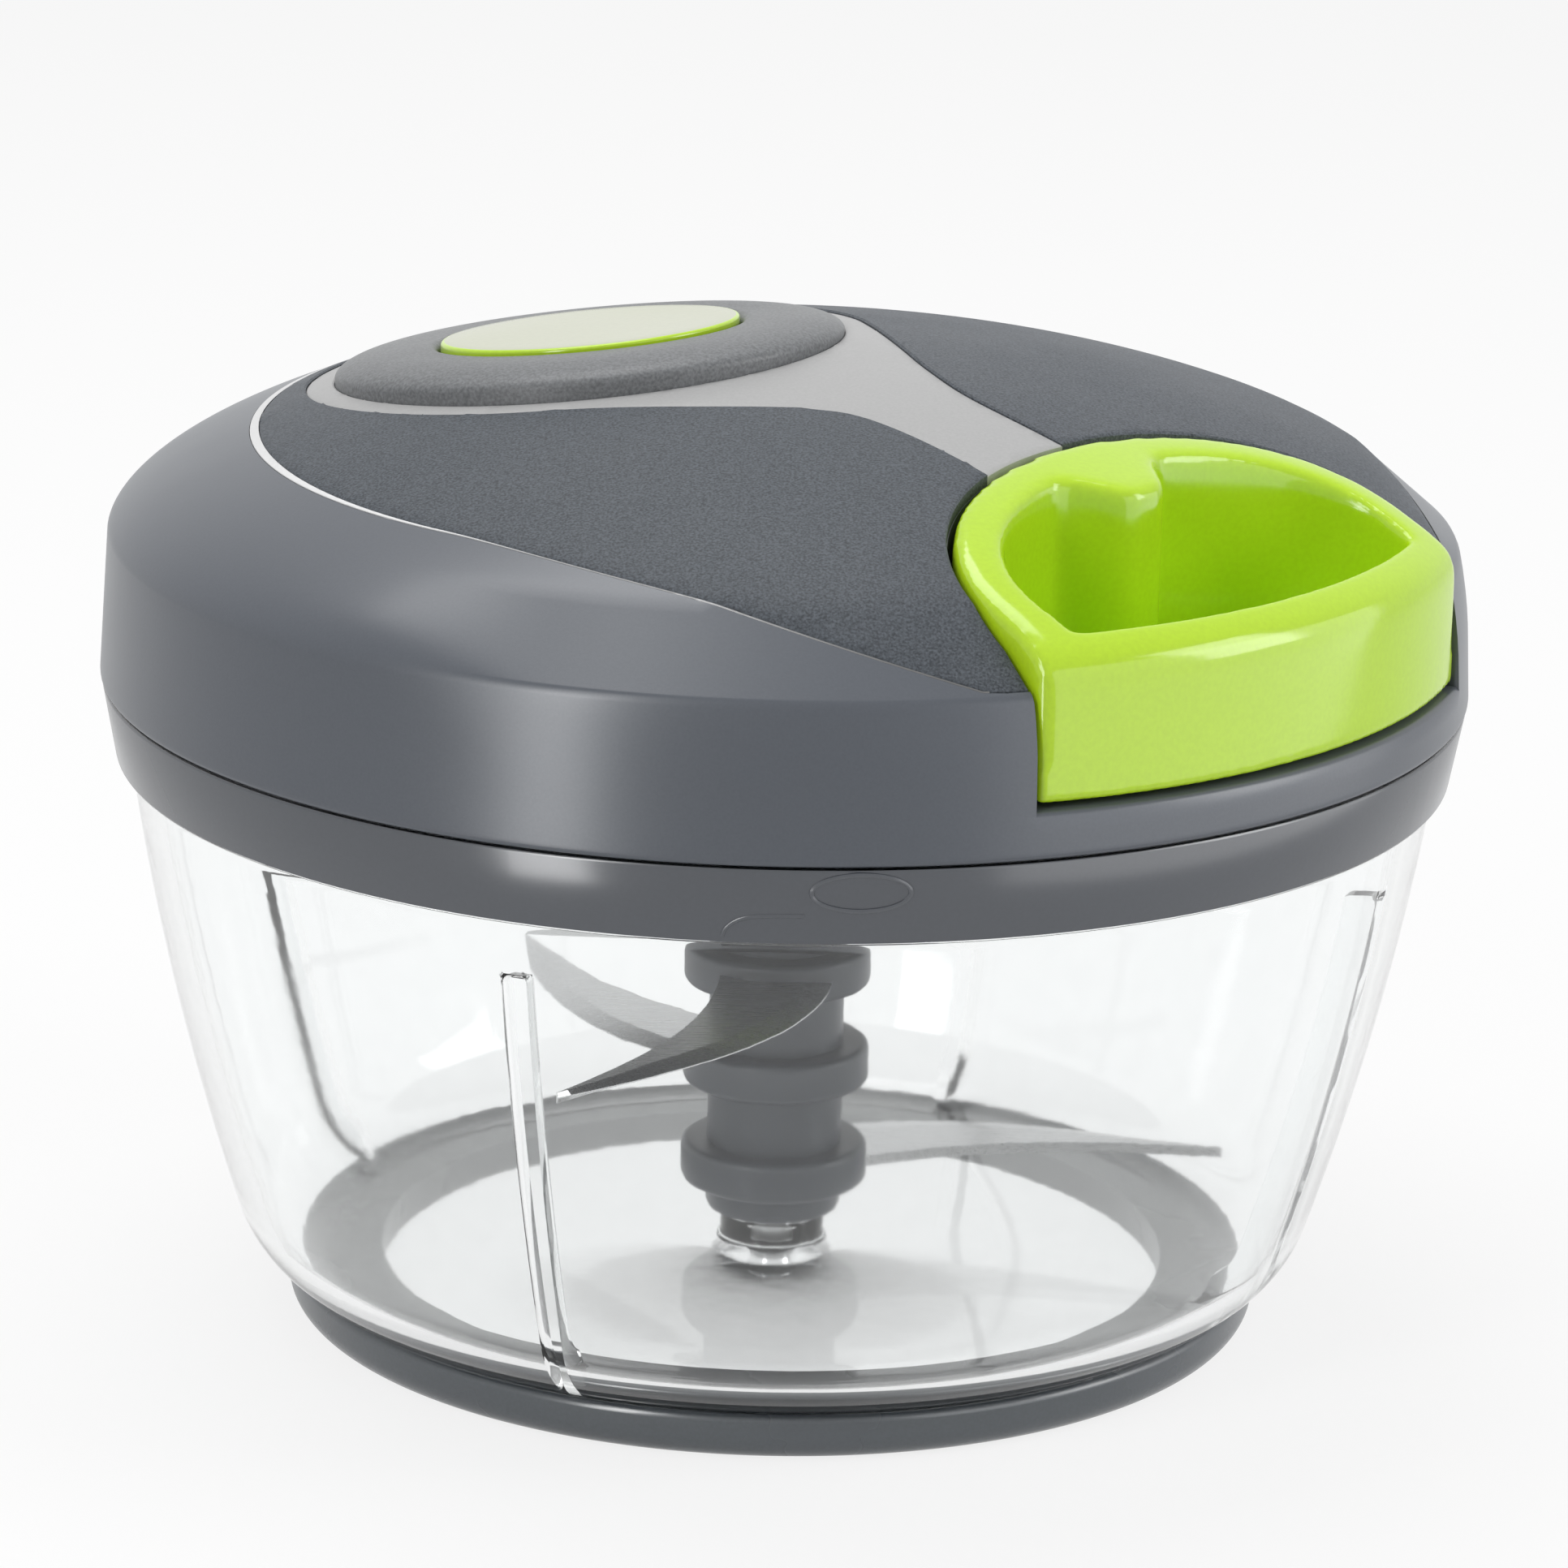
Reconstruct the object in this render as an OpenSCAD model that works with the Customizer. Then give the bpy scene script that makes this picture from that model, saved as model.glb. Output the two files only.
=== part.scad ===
// Pull cord food chopper: a clear bowl on a foot ring, a lid that houses a cord reel,
// a docked pull handle, and a blade stem that turns on a pin in the bowl.
// Millimetres, +Z up, origin at the centre of the foot's underside, front towards -Y.

/* [Bowl] */
// Height of the bowl's underside above the table
bowl_z = 4; // [3:0.5:6]
// Radius of the wall where it leaves the bottom curve
bowl_low_r = 52.1; // [50:0.1:54]
// Height where the wall leaves the bottom curve
bowl_low_z = 11; // [10:0.5:13]
// Outer radius of the wall just under the collar
bowl_top_r = 62.2; // [61:0.1:64]
// Height where the collar starts
collar_z = 55; // [53:0.5:58]
// How far the wall bulges outside a straight cone
bowl_bulge = 1; // [0.4:0.1:1.6]
// Thickness of the clear wall and floor
bowl_wall = 2.2; // [1.8:0.1:2.8]
// Height of the collar round the rim
collar_h = 7.5; // [6.5:0.5:9]
// Wall of the collar at its lower edge
collar_low_wall = 1.4; // [1.2:0.1:2]
// Wall of the collar at the rim
collar_rim_wall = 2.6; // [2.2:0.1:3.2]
// Number of upright ribs inside the wall
rib_count = 4; // [3:1:6]
// How far a rib stands in from the wall
rib_depth = 2.4; // [1.5:0.1:3]
// Width of a rib
rib_w = 2; // [1.5:0.1:3]
// Direction of the first rib, from +X
rib_angle = -113; // [-130:1:-100]
// Radius of the boss that holds the pin
boss_r = 5; // [4.5:0.1:6]
// Height of that boss above the inner floor
boss_h = 2.5; // [2:0.1:4]

/* [Foot] */
// Radius of the foot ring at the table
foot_r = 45.5; // [44:0.5:47]
// Radius of the foot ring at its top edge
foot_top_r = 48.8; // [48.2:0.1:49.6]
// Height of the foot ring
foot_h = 5.6; // [5:0.1:6.4]
// Radius of the opening in the foot ring
foot_in_r = 38; // [34:0.5:40]

/* [Lid cover] */
// Wall of the lid cover
cover_wall = 2.4; // [2:0.1:3]
// Height of the upright side, from the seam to the shoulder
side_h = 13.9; // [12:0.1:16]
// How far the side leans in up to the shoulder
side_lean = 0.7; // [0.3:0.1:1.2]
// Rise of the dome above the shoulder
dome_h = 17.9; // [16:0.1:20]
// Chamfer along the seam
seam_chamfer = 0.5; // [0.3:0.1:0.8]
// Depth of the recess that the top pieces lie in
inlay_depth = 1; // [0.8:0.1:1.2]

/* [Top pieces] */
// Radius of the grained panel behind the crown
panel_r = 51; // [48:0.5:54]
// How far the panel flares out at the handle
panel_flare = 13; // [10:0.5:13.5]
// Width of the bright line round the panel
trim_w = 0.9; // [0.6:0.1:1.4]
// Centre of the crown, across
crown_x = -19.3; // [-22:0.1:-17]
// Centre of the crown, front to back
crown_y = 9; // [6:0.5:11]
// Outer radius of the accent strip round the crown
strip_r = 27; // [26:0.5:28.5]
// Outer radius of the raised crown ring
crown_r = 24.3; // [23:0.1:25.5]
// Radius of the oval cap in the crown
cap_r = 14.3; // [12:0.1:16]
// How far the crown leans back from level
crown_back_tilt = 5.5; // [4:0.1:6]
// How far the crown leans to the left from level
crown_left_tilt = 6.7; // [6:0.1:8]
// Height of the crown ring's flat top over the dome at its centre
crown_rise = 0.4; // [0.2:0.1:0.8]
// How far the crown ring's rounded edge falls
crown_fall = 1.3; // [1:0.1:1.5]
// Width of that rounded edge
crown_edge_w = 5; // [3:0.1:6]
// How far the cap stands above the crown ring
cap_rise = 0.4; // [0.3:0.1:0.9]

/* [Handle] */
// Direction of the pull, from +X
pull_az = -42; // [-50:1:-35]
// Height of the pocket floor above the seam
ledge_h = 4.4; // [4:0.1:5.5]
// Distance from the axis to the pocket's widest point
pocket_mid = 52; // [50:0.5:53]
// Depth of the rounded back of the pocket
pocket_back = 18.5; // [17:0.5:19]
// Half width of the pocket
pocket_half_w = 29; // [27:0.5:30]
// Half width of the pocket at the lid's side
pocket_mouth_half_w = 30; // [30:0.1:31]
// Clearance between the handle and its pocket
handle_gap = 0.45; // [0.4:0.05:0.8]
// Wall of the handle at the sides and back
handle_wall = 4.6; // [4:0.1:5.5]
// Wall of the handle at the front
handle_front_wall = 3.8; // [3.2:0.1:5]
// Rounding of the handle's upper front edge
handle_lip = 1.6; // [0.8:0.1:2]
// Floor of the finger recess
handle_floor = 3; // [2.5:0.1:4]
// How far the front face lies inside the lid's side
handle_set_back = 0.8; // [0.6:0.1:1.5]
// Half width of the cord boss where it runs out into the recess wall
cord_boss_half_w = 7.5; // [7:0.1:9]
// How far the cord boss stands into the finger recess
cord_boss_depth = 5.5; // [5:0.1:7]

/* [Cord and reel] */
// Diameter of the cord
cord_d = 2; // [1.6:0.1:2.2]
// Height of the cord above the seam
cord_h = 13; // [12:0.1:14]
// Radius of the reel's drum
drum_r = 18; // [17:0.1:19]
// Radius of the reel's flanges
flange_r = 24; // [23:0.1:26]
// Thickness of a reel flange
flange_t = 1.8; // [1.5:0.1:2.2]
// Space between the flanges
winding_h = 7; // [6:0.5:8]
// Wall of the drum
drum_wall = 2.5; // [2:0.1:3]
// Turns of the return spring
spring_turns = 6; // [4:1:7]
// Thickness of the spring strip
spring_t = 0.5; // [0.4:0.05:0.7]
// Radius of the spindle
spindle_r = 3; // [2.5:0.1:3.5]
// Radial running clearance of the spindle and the pin
run_gap = 0.05; // [0.03:0.01:0.08]
// Teeth of the one-way clutch
clutch_teeth = 12; // [8:1:16]

/* [Lid base] */
// Thickness of the lid's base plate
plate_t = 2.5; // [2:0.1:3]
// Clearance between the skirt and the collar
skirt_gap = 0.3; // [0.25:0.05:0.5]
// Wall of the skirt
skirt_wall = 2.2; // [2:0.1:2.6]
// Radius of the bearing boss under the plate
bearing_boss_r = 15; // [13:0.5:17]
// How far the bearing boss reaches below the seam
bearing_boss_h = 16.5; // [15:0.5:18]
// Wall of the bearing bush
bush_wall = 1.6; // [1.2:0.1:2]
// Radius of the drive hub's shaft
hub_r = 7.6; // [7:0.1:8.5]
// Distance of the screws in from the edge of the lid base
screw_in = 8.9; // [8:0.1:11]
// Radius of a screw's shank
screw_r = 1.25; // [1:0.05:1.5]

/* [Blades] */
// Radius of the pin in the bowl
pin_r = 2; // [1.6:0.1:2.5]
// Length of the pin above its boss
pin_h = 16; // [12:0.5:20]
// Radius of the stem
stem_r = 6.5; // [6:0.1:7]
// Width of the stem's square drive end
drive_w = 7.6; // [7:0.1:8]
// Clearance round the drive end in the hub
drive_gap = 0.2; // [0.15:0.05:0.3]
// Reach of the lowest blade from the axis
blade_reach = 43; // [40:0.5:45]
// Height of the lowest blade above the stem's foot
blade_first_h = 5; // [4:0.5:6]
// Height between one blade and the next
blade_step_h = 10; // [8:0.5:11]
// Thickness of a blade
blade_t = 1; // [0.8:0.1:1.4]
// Width of a blade at its root
blade_root_w = 11; // [10:0.5:12]
// Height of the collar that grips a blade's root
blade_collar_h = 4; // [3:0.5:5]
// How far that collar stands out from the stem
blade_collar_out = 2.5; // [1.5:0.5:3]
// How far a blade's edges bow forward
blade_bow = 3; // [2:0.5:4]
// How much longer each blade is than the one below it
blade_gain = 1.5; // [0.5:0.5:1.5]
// Direction of the lowest blade, from +X
blade_angle = 20; // [0:5:90]
// How far a blade sweeps back at its tip
blade_sweep = 12; // [8:0.5:15]

/* [Hidden] */
$fn = 96;
// Overlap that makes a cut run through a face
over = 1;
// Gap left where a moving piece runs over a fixed one
run_h = 0.3;

// Bowl
rim_z = collar_z + collar_h;
rim_r = bowl_top_r + collar_rim_wall;
wall_run = collar_z - bowl_low_z;
wall_rise = bowl_top_r - bowl_low_r;
low_lean = atan((wall_rise + 4 * bowl_bulge) / wall_run);
corner_r = (bowl_low_z - bowl_z) / (1 - sin(low_lean));
corner_x = bowl_low_r - corner_r * cos(low_lean);
corner_z = bowl_z + corner_r;
floor_z = bowl_z + bowl_wall;
boss_z = floor_z + boss_h;
wall_steps = 10;
corner_steps = 8;
// The ledge inside the collar, where the wall ends
collar_ledge_z = collar_z + 0.7;
rib_top_z = collar_z - 6;

// Lid cover
lid_r = rim_r + 0.2;
shoulder_r = lid_r - side_lean;
shoulder_z = rim_z + side_h;
apex_z = shoulder_z + dome_h;
// Exponents that shape the dome between a cone and a box
dome_out = 1.088;
dome_up = 1.227;
dome_steps = 14;
ledge_z = rim_z + ledge_h;
pocket_wall = 2;
pocket_round = 2.2;
// Angles over which the panel keeps and then loses its flare, and how it eases
panel_hold = 29;
panel_fall = 55;
panel_ease = 1.6;
// Where the pocket's flared sides pass the lid's side
mouth_u = 57.2;
mouth_past_u = lid_r + 5;
pocket_u = pocket_mid - pocket_back;

// Handle
handle_z = ledge_z + 0.5;
handle_r = lid_r - handle_set_back;
// The handle's top swells a little above the dome towards its front
handle_swell = 2.2;
recess_z = handle_z + handle_floor;
recess_half_w = pocket_half_w - handle_gap - handle_wall;
recess_back = pocket_back - handle_gap - handle_wall;
// Half width of the cord boss's front face
boss_face_half_w = 1.5;
cord_z = rim_z + cord_h;
cord_bore_r = cord_d / 2 + 0.4;
// Wall and flange of the cord guide, and its set-back from the pocket's face
guide_wall = 1.6;
guide_flange = 1.2;
guide_flange_t = 1;
guide_back = 0.2;
knot_r = 2.3;
knot_u = pocket_u + 6.5;
knot_room = 0.3;

// Reel, from the clutch ring up
reel_low_z = cord_z - winding_h / 2 - flange_t;
reel_top_z = cord_z + winding_h / 2 + flange_t;
web_t = 2;
spring_z = reel_low_z + flange_t + web_t;
spring_h = reel_top_z - flange_t - spring_z - 0.5;
spring_in_r = spindle_r + 0.8;
spring_out_r = drum_r - drum_wall - 0.4;
spring_pitch = (spring_out_r - spring_in_r) / spring_turns;
clutch_r = drum_r - 1;
clutch_tooth = 1.6;
clutch_wall = 2;
clutch_h = 3.4;
clutch_z = reel_low_z - clutch_h;
spindle_top_z = reel_top_z + 8;
// Wall of the post that holds the spindle's top
spindle_post_wall = 4;

// Lid base
skirt_r = bowl_top_r - skirt_gap;
plate_z = rim_z - 2;
skirt_z = collar_ledge_z + 0.3;
seal_z = (skirt_z + plate_z) / 2;
seal_half_h = 0.9;
seal_in = 1.1;
seal_out = 0.25;
bush_r = hub_r + run_gap + bush_wall;
bearing_boss_z = rim_z - bearing_boss_h;
screw_ring_r = skirt_r - screw_in;
screw_angles = [75, 180, 285];
screw_head_r = 2.8;
screw_head_h = 1.8;
post_r = 3.6;
screw_grip = 9;

// Drive hub and blade stem
hub_z = bearing_boss_z + 0.5;
hub_top_z = clutch_z + clutch_h - 0.4;
finger_plate_r = 9;
finger_w = 3;
finger_count = 3;
finger_in = 0.3;
stem_z = boss_z + run_h;
// Depth that a blade's root goes into the stem
blade_hold = 2;
stem_drive_z = bearing_boss_z - 1.5;
stem_top_z = rim_z - 5;
socket_top_z = stem_top_z + 1;

GREY = [0.33, 0.36, 0.39];
PANEL_GREY = [0.36, 0.38, 0.42];
PALE_GREY = [0.74, 0.74, 0.74];
GREEN = [0.64, 0.84, 0.12];
PALE_GREEN = [0.80, 0.85, 0.70];
CLEAR = [0.9, 0.95, 0.97, 0.3];
STEEL = [0.78, 0.79, 0.8];

echo(spring_gap_mm = spring_pitch - spring_t);

// A point of the bowl's wall, moved out along its normal
function wall_point(s, off) =
    let (lean = atan((wall_rise + 4 * bowl_bulge * (1 - 2 * s)) / wall_run))
    [bowl_low_r + s * wall_rise + 4 * bowl_bulge * s * (1 - s) + off * cos(lean),
     bowl_low_z + s * wall_run - off * sin(lean)];

// The bowl's side from the axis out along the floor and up to the collar
function bowl_side(off) = concat(
    [[0, bowl_z - off]],
    [for (i = [0:corner_steps])
        let (a = -90 + i * (90 - low_lean) / corner_steps)
        [corner_x + (corner_r + off) * cos(a), corner_z + (corner_r + off) * sin(a)]],
    [for (i = [1:wall_steps]) wall_point(i / wall_steps, off)]);

// The dome from the shoulder in to the axis, moved out by off
function dome_line(off) = [for (i = [0:dome_steps])
    let (t = 90 * i / dome_steps)
    [(shoulder_r + off) * pow(cos(t), dome_out), shoulder_z + (dome_h + off) * pow(sin(t), dome_up)]];

// Height of a dome that ends at edge_r, over a radius
function dome_z(r, edge_r) =
    shoulder_z + dome_h * pow(1 - pow(r / edge_r, 2 / dome_out), dome_up / 2);

// A point of the pocket's rounded back, from one side at -90 to the other at 90 degrees
function back_point(t, depth, half_w) =
    [pocket_mid - depth * pow(cos(t), 2 / pocket_round),
     half_w * sign(t) * pow(abs(sin(t)), 2 / pocket_round)];

// Share of the cord boss's depth at a distance from its middle, eased on both sides
function boss_share(v) =
    let (t = max(0, min(1, (abs(v) - boss_face_half_w) / (cord_boss_half_w - boss_face_half_w))))
    1 - t * t * (3 - 2 * t);

// The back of the finger recess, swollen forward into the cord boss
function recess_line() = [
    for (t = concat([for (a = [-90:7.5:-22.5]) a], [for (a = [-20:2:20]) a], [for (a = [22.5:7.5:90]) a]))
        let (p = back_point(t, recess_back, recess_half_w))
        [p[0] + cord_boss_depth * boss_share(p[1]), p[1]]];

// The pocket's outline, shrunk by gap, open past the lid's side
function pocket_outline(gap) = concat(
    [[mouth_past_u, -(pocket_mouth_half_w - gap)], [mouth_u, -(pocket_mouth_half_w - gap)]],
    [for (t = [-90:7.5:90]) back_point(t, pocket_back - gap, pocket_half_w - gap)],
    [[mouth_u, pocket_mouth_half_w - gap], [mouth_past_u, pocket_mouth_half_w - gap]]);

// Radius of the panel's edge at an angle from the pull direction
function panel_edge(turn) =
    let (near = max(abs(turn), panel_hold))
    panel_r + panel_flare * pow(max(0, 1 - (near - panel_hold) / panel_fall), panel_ease);

// A smooth line through points chosen by hand
function spline(p, steps = 5) = [for (i = [0:len(p) - 2], k = [0:steps - 1])
    let (a = p[max(i - 1, 0)], b = p[i], c = p[i + 1], d = p[min(i + 2, len(p) - 1)], t = k / steps)
    0.5 * (2 * b + (c - a) * t + (2 * a - 5 * b + 4 * c - d) * t * t
        + (3 * b - a - 3 * c + d) * t * t * t)];

// The neck of the accent strip, from the crown to the pocket
neck_front = [[-24, -17.5], [-9, -19.5], [2, -20.1], [8, -22.5], [18, -32], [26, -41]];
neck_back = [[36, -33], [25, -22.4], [17, -13.6], [13, -6], [10.4, 4], [3, 18]];

module dome_solid(off) {
    rotate_extrude()
        polygon(concat(
            [[0, rim_z], [lid_r + off - seam_chamfer, rim_z], [lid_r + off, rim_z + 2 * seam_chamfer]],
            dome_line(off)));
}

// The layer of the dome between two offsets
module dome_layer(low, high) {
    difference() {
        dome_solid(high);
        dome_solid(low);
    }
}

module pocket_prism(gap, z) {
    rotate([0, 0, pull_az])
        translate([0, 0, z])
            linear_extrude(apex_z - z + 5)
                polygon(pocket_outline(gap));
}

module panel_prism(inset) {
    translate([0, 0, shoulder_z - 2])
        linear_extrude(dome_h + 10)
            polygon([for (a = [-180:5:175])
                (panel_edge(a) - inset) * [cos(a + pull_az), sin(a + pull_az)]]);
}

module strip_prism() {
    translate([0, 0, shoulder_z]) {
        linear_extrude(dome_h + 10) {
            translate([crown_x, crown_y])
                circle(strip_r);
            polygon(concat(spline(neck_front), spline(neck_back), [[crown_x, crown_y + 10]]));
        }
    }
}

module crown_prism(r) {
    translate([crown_x, crown_y, shoulder_z])
        cylinder(r = r, h = dome_h + 10);
}

// A profile turned about the crown's own leaning axis
module crown_turned(profile) {
    translate([crown_x, crown_y, dome_z(norm([crown_x, crown_y]), shoulder_r)])
        rotate([-crown_back_tilt, -crown_left_tilt, 0])
            rotate_extrude()
                polygon(profile);
}

// One upright rib, drawn in the plane of the wall and turned up
module rib() {
    rotate([90, 0, 0])
        translate([0, 0, -rib_w / 2])
            linear_extrude(rib_w)
                intersection() {
                    polygon(concat(
                        [for (i = [0:wall_steps]) wall_point(i / wall_steps, -bowl_wall / 2)],
                        [for (i = [wall_steps:-1:0]) wall_point(i / wall_steps, -bowl_wall - rib_depth)]));
                    translate([0, floor_z])
                        square([rim_r, rib_top_z - floor_z]);
                }
}

module bowl_blank() {
    inner = bowl_side(-bowl_wall);
    rotate_extrude()
        polygon(concat(
            bowl_side(0),
            [[bowl_top_r + collar_low_wall, collar_z + 0.3],
             [rim_r, rim_z - seam_chamfer], [rim_r - seam_chamfer, rim_z],
             [bowl_top_r, rim_z], [bowl_top_r, collar_ledge_z],
             [wall_point(1, -bowl_wall)[0], collar_ledge_z]],
            [for (i = [len(inner) - 1:-1:0]) inner[i]]));
}

module bowl() {
    color(CLEAR)
        difference() {
            union() {
                bowl_blank();
                for (i = [0:rib_count - 1])
                    rotate([0, 0, rib_angle + 360 * i / rib_count])
                        rib();
                translate([0, 0, bowl_z])
                    cylinder(r = boss_r, h = boss_z - bowl_z);
            }
            translate([0, 0, floor_z])
                cylinder(r = pin_r, h = boss_h + over);
        }
}

module foot_ring() {
    color(GREY)
        difference() {
            rotate_extrude()
                polygon([[foot_in_r, 0], [foot_r - 0.8, 0], [foot_r, 0.8],
                         [foot_top_r, foot_h - 0.8], [foot_top_r - 0.5, foot_h],
                         [foot_in_r, foot_h]]);
            rotate_extrude()
                polygon(concat(bowl_side(0), [[0, collar_z]]));
        }
}

module pivot_pin() {
    color(STEEL)
        rotate_extrude()
            polygon([[0, floor_z], [pin_r, floor_z], [pin_r, boss_z + pin_h - 0.6],
                     [pin_r - 0.6, boss_z + pin_h], [0, boss_z + pin_h]]);
}

// A swept blade: a sickle outline from the stem out to a point
module blade_shape(reach) {
    edge = 12;
    translate([0, 0, -blade_t / 2])
        linear_extrude(blade_t)
            polygon(concat(
                [for (i = [0:edge]) let (s = i / edge)
                    [reach * s, blade_root_w / 2 + blade_bow * sin(180 * s) - (blade_root_w / 2 + blade_sweep) * s * s]],
                [for (i = [edge - 1:-1:0]) let (s = i / edge)
                    [reach * s, -blade_root_w / 2 + blade_bow * sin(180 * s)
                        - (blade_sweep - blade_root_w / 2) * s * s]]));
}

module blade(index) {
    reach = blade_reach + index * blade_gain;
    difference() {
        translate([0, 0, stem_z + blade_first_h + index * blade_step_h])
            rotate([0, 0, blade_angle + 120 * index])
                blade_shape(reach);
        translate([0, 0, stem_z])
            cylinder(r = stem_r - blade_hold, h = stem_drive_z);
    }
}

module blade_stem() {
    color(GREY)
        difference() {
            union() {
                rotate_extrude()
                    polygon([[0, stem_z], [stem_r - 0.8, stem_z], [stem_r, stem_z + 0.8],
                             [stem_r, stem_drive_z - 1], [drive_w * 0.75, stem_drive_z], [0, stem_drive_z]]);
                for (i = [0:2])
                    translate([0, 0, stem_z + blade_first_h + i * blade_step_h - blade_collar_h / 2])
                        cylinder(r = stem_r + blade_collar_out, h = blade_collar_h);
                translate([-drive_w / 2, -drive_w / 2, stem_drive_z - 1])
                    cube([drive_w, drive_w, stem_top_z - stem_drive_z + 1]);
            }
            translate([0, 0, stem_z - over])
                cylinder(r = pin_r + run_gap, h = boss_z + pin_h + run_h - stem_z + over);
            for (i = [0:2])
                blade(i);
        }
}

module blade_lower() { color(STEEL) blade(0); }
module blade_middle() { color(STEEL) blade(1); }
module blade_upper() { color(STEEL) blade(2); }

// Places a screw's parts round the lid, clear of the pocket
module at_screws(z) {
    for (a = screw_angles)
        rotate([0, 0, pull_az + a])
            translate([screw_ring_r, 0, z])
                children();
}

module lid_base() {
    color(GREY)
        difference() {
            union() {
                translate([0, 0, plate_z])
                    cylinder(r = skirt_r, h = plate_t);
                translate([0, 0, skirt_z])
                    cylinder(r = skirt_r, h = plate_z - skirt_z + over);
                rotate_extrude()
                    polygon([[0, bearing_boss_z], [bearing_boss_r - 2.5, bearing_boss_z],
                             [bearing_boss_r, bearing_boss_z + 2.5], [bearing_boss_r, plate_z + over],
                             [0, plate_z + over]]);
            }
            difference() {
                translate([0, 0, skirt_z - over])
                    cylinder(r = skirt_r - skirt_wall, h = plate_z - skirt_z + over);
                translate([0, 0, skirt_z - 2 * over])
                    cylinder(r = bearing_boss_r, h = rim_z);
            }
            translate([0, 0, bearing_boss_z - over])
                cylinder(r = bush_r, h = bearing_boss_h + plate_t + 2 * over);
            translate([0, 0, seal_z - seal_half_h])
                difference() {
                    cylinder(r = skirt_r + over, h = 2 * seal_half_h);
                    translate([0, 0, -over])
                        cylinder(r = skirt_r - seal_in, h = 2 * seal_half_h + 2 * over);
                }
            at_screws(plate_z - over)
                cylinder(r = screw_r + run_gap, h = plate_t + 2 * over);
        }
}

module seal_ring() {
    color([0.3, 0.32, 0.34])
        rotate_extrude()
            polygon([[skirt_r - seal_in, seal_z - seal_half_h], [skirt_r, seal_z - seal_half_h],
                     [skirt_r + seal_out, seal_z], [skirt_r, seal_z + seal_half_h],
                     [skirt_r - seal_in, seal_z + seal_half_h]]);
}

module hub_bush() {
    color(PALE_GREY)
        translate([0, 0, bearing_boss_z])
            difference() {
                cylinder(r = bush_r, h = plate_z + plate_t - bearing_boss_z);
                translate([0, 0, -over])
                    cylinder(r = hub_r + run_gap, h = bearing_boss_h + plate_t + 2 * over);
            }
}

module lid_screws() {
    color(STEEL)
        at_screws(0)
            rotate_extrude()
                polygon([[0, plate_z - screw_head_h], [screw_head_r - 0.5, plate_z - screw_head_h],
                         [screw_head_r, plate_z - screw_head_h + 0.6], [screw_head_r, plate_z],
                         [screw_r, plate_z], [screw_r, plate_z + plate_t + screw_grip - 1],
                         [0, plate_z + plate_t + screw_grip]]);
}

// One springy finger of the clutch, bent towards the teeth
module clutch_finger() {
    tip_r = clutch_r - clutch_tooth - 0.4;
    translate([0, 0, finger_in])
        linear_extrude(hub_top_z - clutch_z - run_h - 2 * finger_in)
            polygon([[finger_plate_r - 3, -finger_w], [finger_plate_r + 1, -finger_w],
                     [tip_r, finger_w], [tip_r - 1.6, finger_w + 1], [finger_plate_r - 3, 0]]);
}

module drive_hub() {
    finger_z = clutch_z + run_h;
    color(GREEN)
        difference() {
            union() {
                translate([0, 0, hub_z])
                    cylinder(r = hub_r, h = finger_z - hub_z + finger_in / 2);
                translate([0, 0, finger_z])
                    cylinder(r = finger_plate_r, h = hub_top_z - finger_z);
                for (i = [0:finger_count - 1])
                    rotate([0, 0, 360 * i / finger_count])
                        translate([0, 0, finger_z])
                            clutch_finger();
            }
            translate([-drive_w / 2 - drive_gap, -drive_w / 2 - drive_gap, hub_z - over])
                cube([drive_w + 2 * drive_gap, drive_w + 2 * drive_gap, socket_top_z - hub_z + over]);
            translate([0, 0, socket_top_z + 1.5])
                cylinder(r = spindle_r + run_gap, h = hub_top_z - socket_top_z);
        }
}

module cord_reel() {
    color([0.9, 0.9, 0.88])
        difference() {
            union() {
                translate([0, 0, reel_low_z])
                    cylinder(r = flange_r, h = flange_t);
                translate([0, 0, reel_low_z])
                    cylinder(r = drum_r, h = reel_top_z - reel_low_z);
                translate([0, 0, reel_top_z - flange_t])
                    cylinder(r = flange_r, h = flange_t);
                translate([0, 0, clutch_z])
                    cylinder(r = clutch_r + clutch_wall, h = clutch_h + flange_t);
            }
            translate([0, 0, spring_z])
                cylinder(r = drum_r - drum_wall, h = reel_top_z);
            translate([0, 0, clutch_z - over])
                linear_extrude(clutch_h + over)
                    polygon([for (i = [0:clutch_teeth - 1], k = [0:1])
                        let (a = 360 * (i + k * 0.9) / clutch_teeth)
                        (clutch_r - (k == 0 ? clutch_tooth : 0)) * [cos(a), sin(a)]]);
            translate([0, 0, reel_low_z - over])
                cylinder(r = spindle_r + run_gap, h = flange_t + web_t + 2 * over);
        }
}

module wound_cord() {
    color([0.93, 0.93, 0.9])
        translate([0, 0, cord_z - winding_h / 2])
            difference() {
                cylinder(r = drum_r + cord_d, h = winding_h);
                translate([0, 0, -over])
                    cylinder(r = drum_r, h = winding_h + 2 * over);
            }
}

module return_spring() {
    steps = 16;
    total = spring_turns * steps;
    color(STEEL)
        translate([0, 0, spring_z + 0.2])
            linear_extrude(spring_h - 0.4)
                polygon(concat(
                    [for (i = [0:total])
                        (spring_in_r + spring_pitch * i / steps) * [cos(360 * i / steps), sin(360 * i / steps)]],
                    [for (i = [total:-1:0])
                        (spring_in_r + spring_pitch * i / steps - spring_t)
                            * [cos(360 * i / steps), sin(360 * i / steps)]]));
}

module spring_cover() {
    color(PALE_GREY)
        translate([0, 0, reel_top_z - flange_t])
            difference() {
                cylinder(r = drum_r - drum_wall, h = flange_t);
                translate([0, 0, -over])
                    cylinder(r = spindle_r + run_gap, h = flange_t + 2 * over);
            }
}

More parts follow.
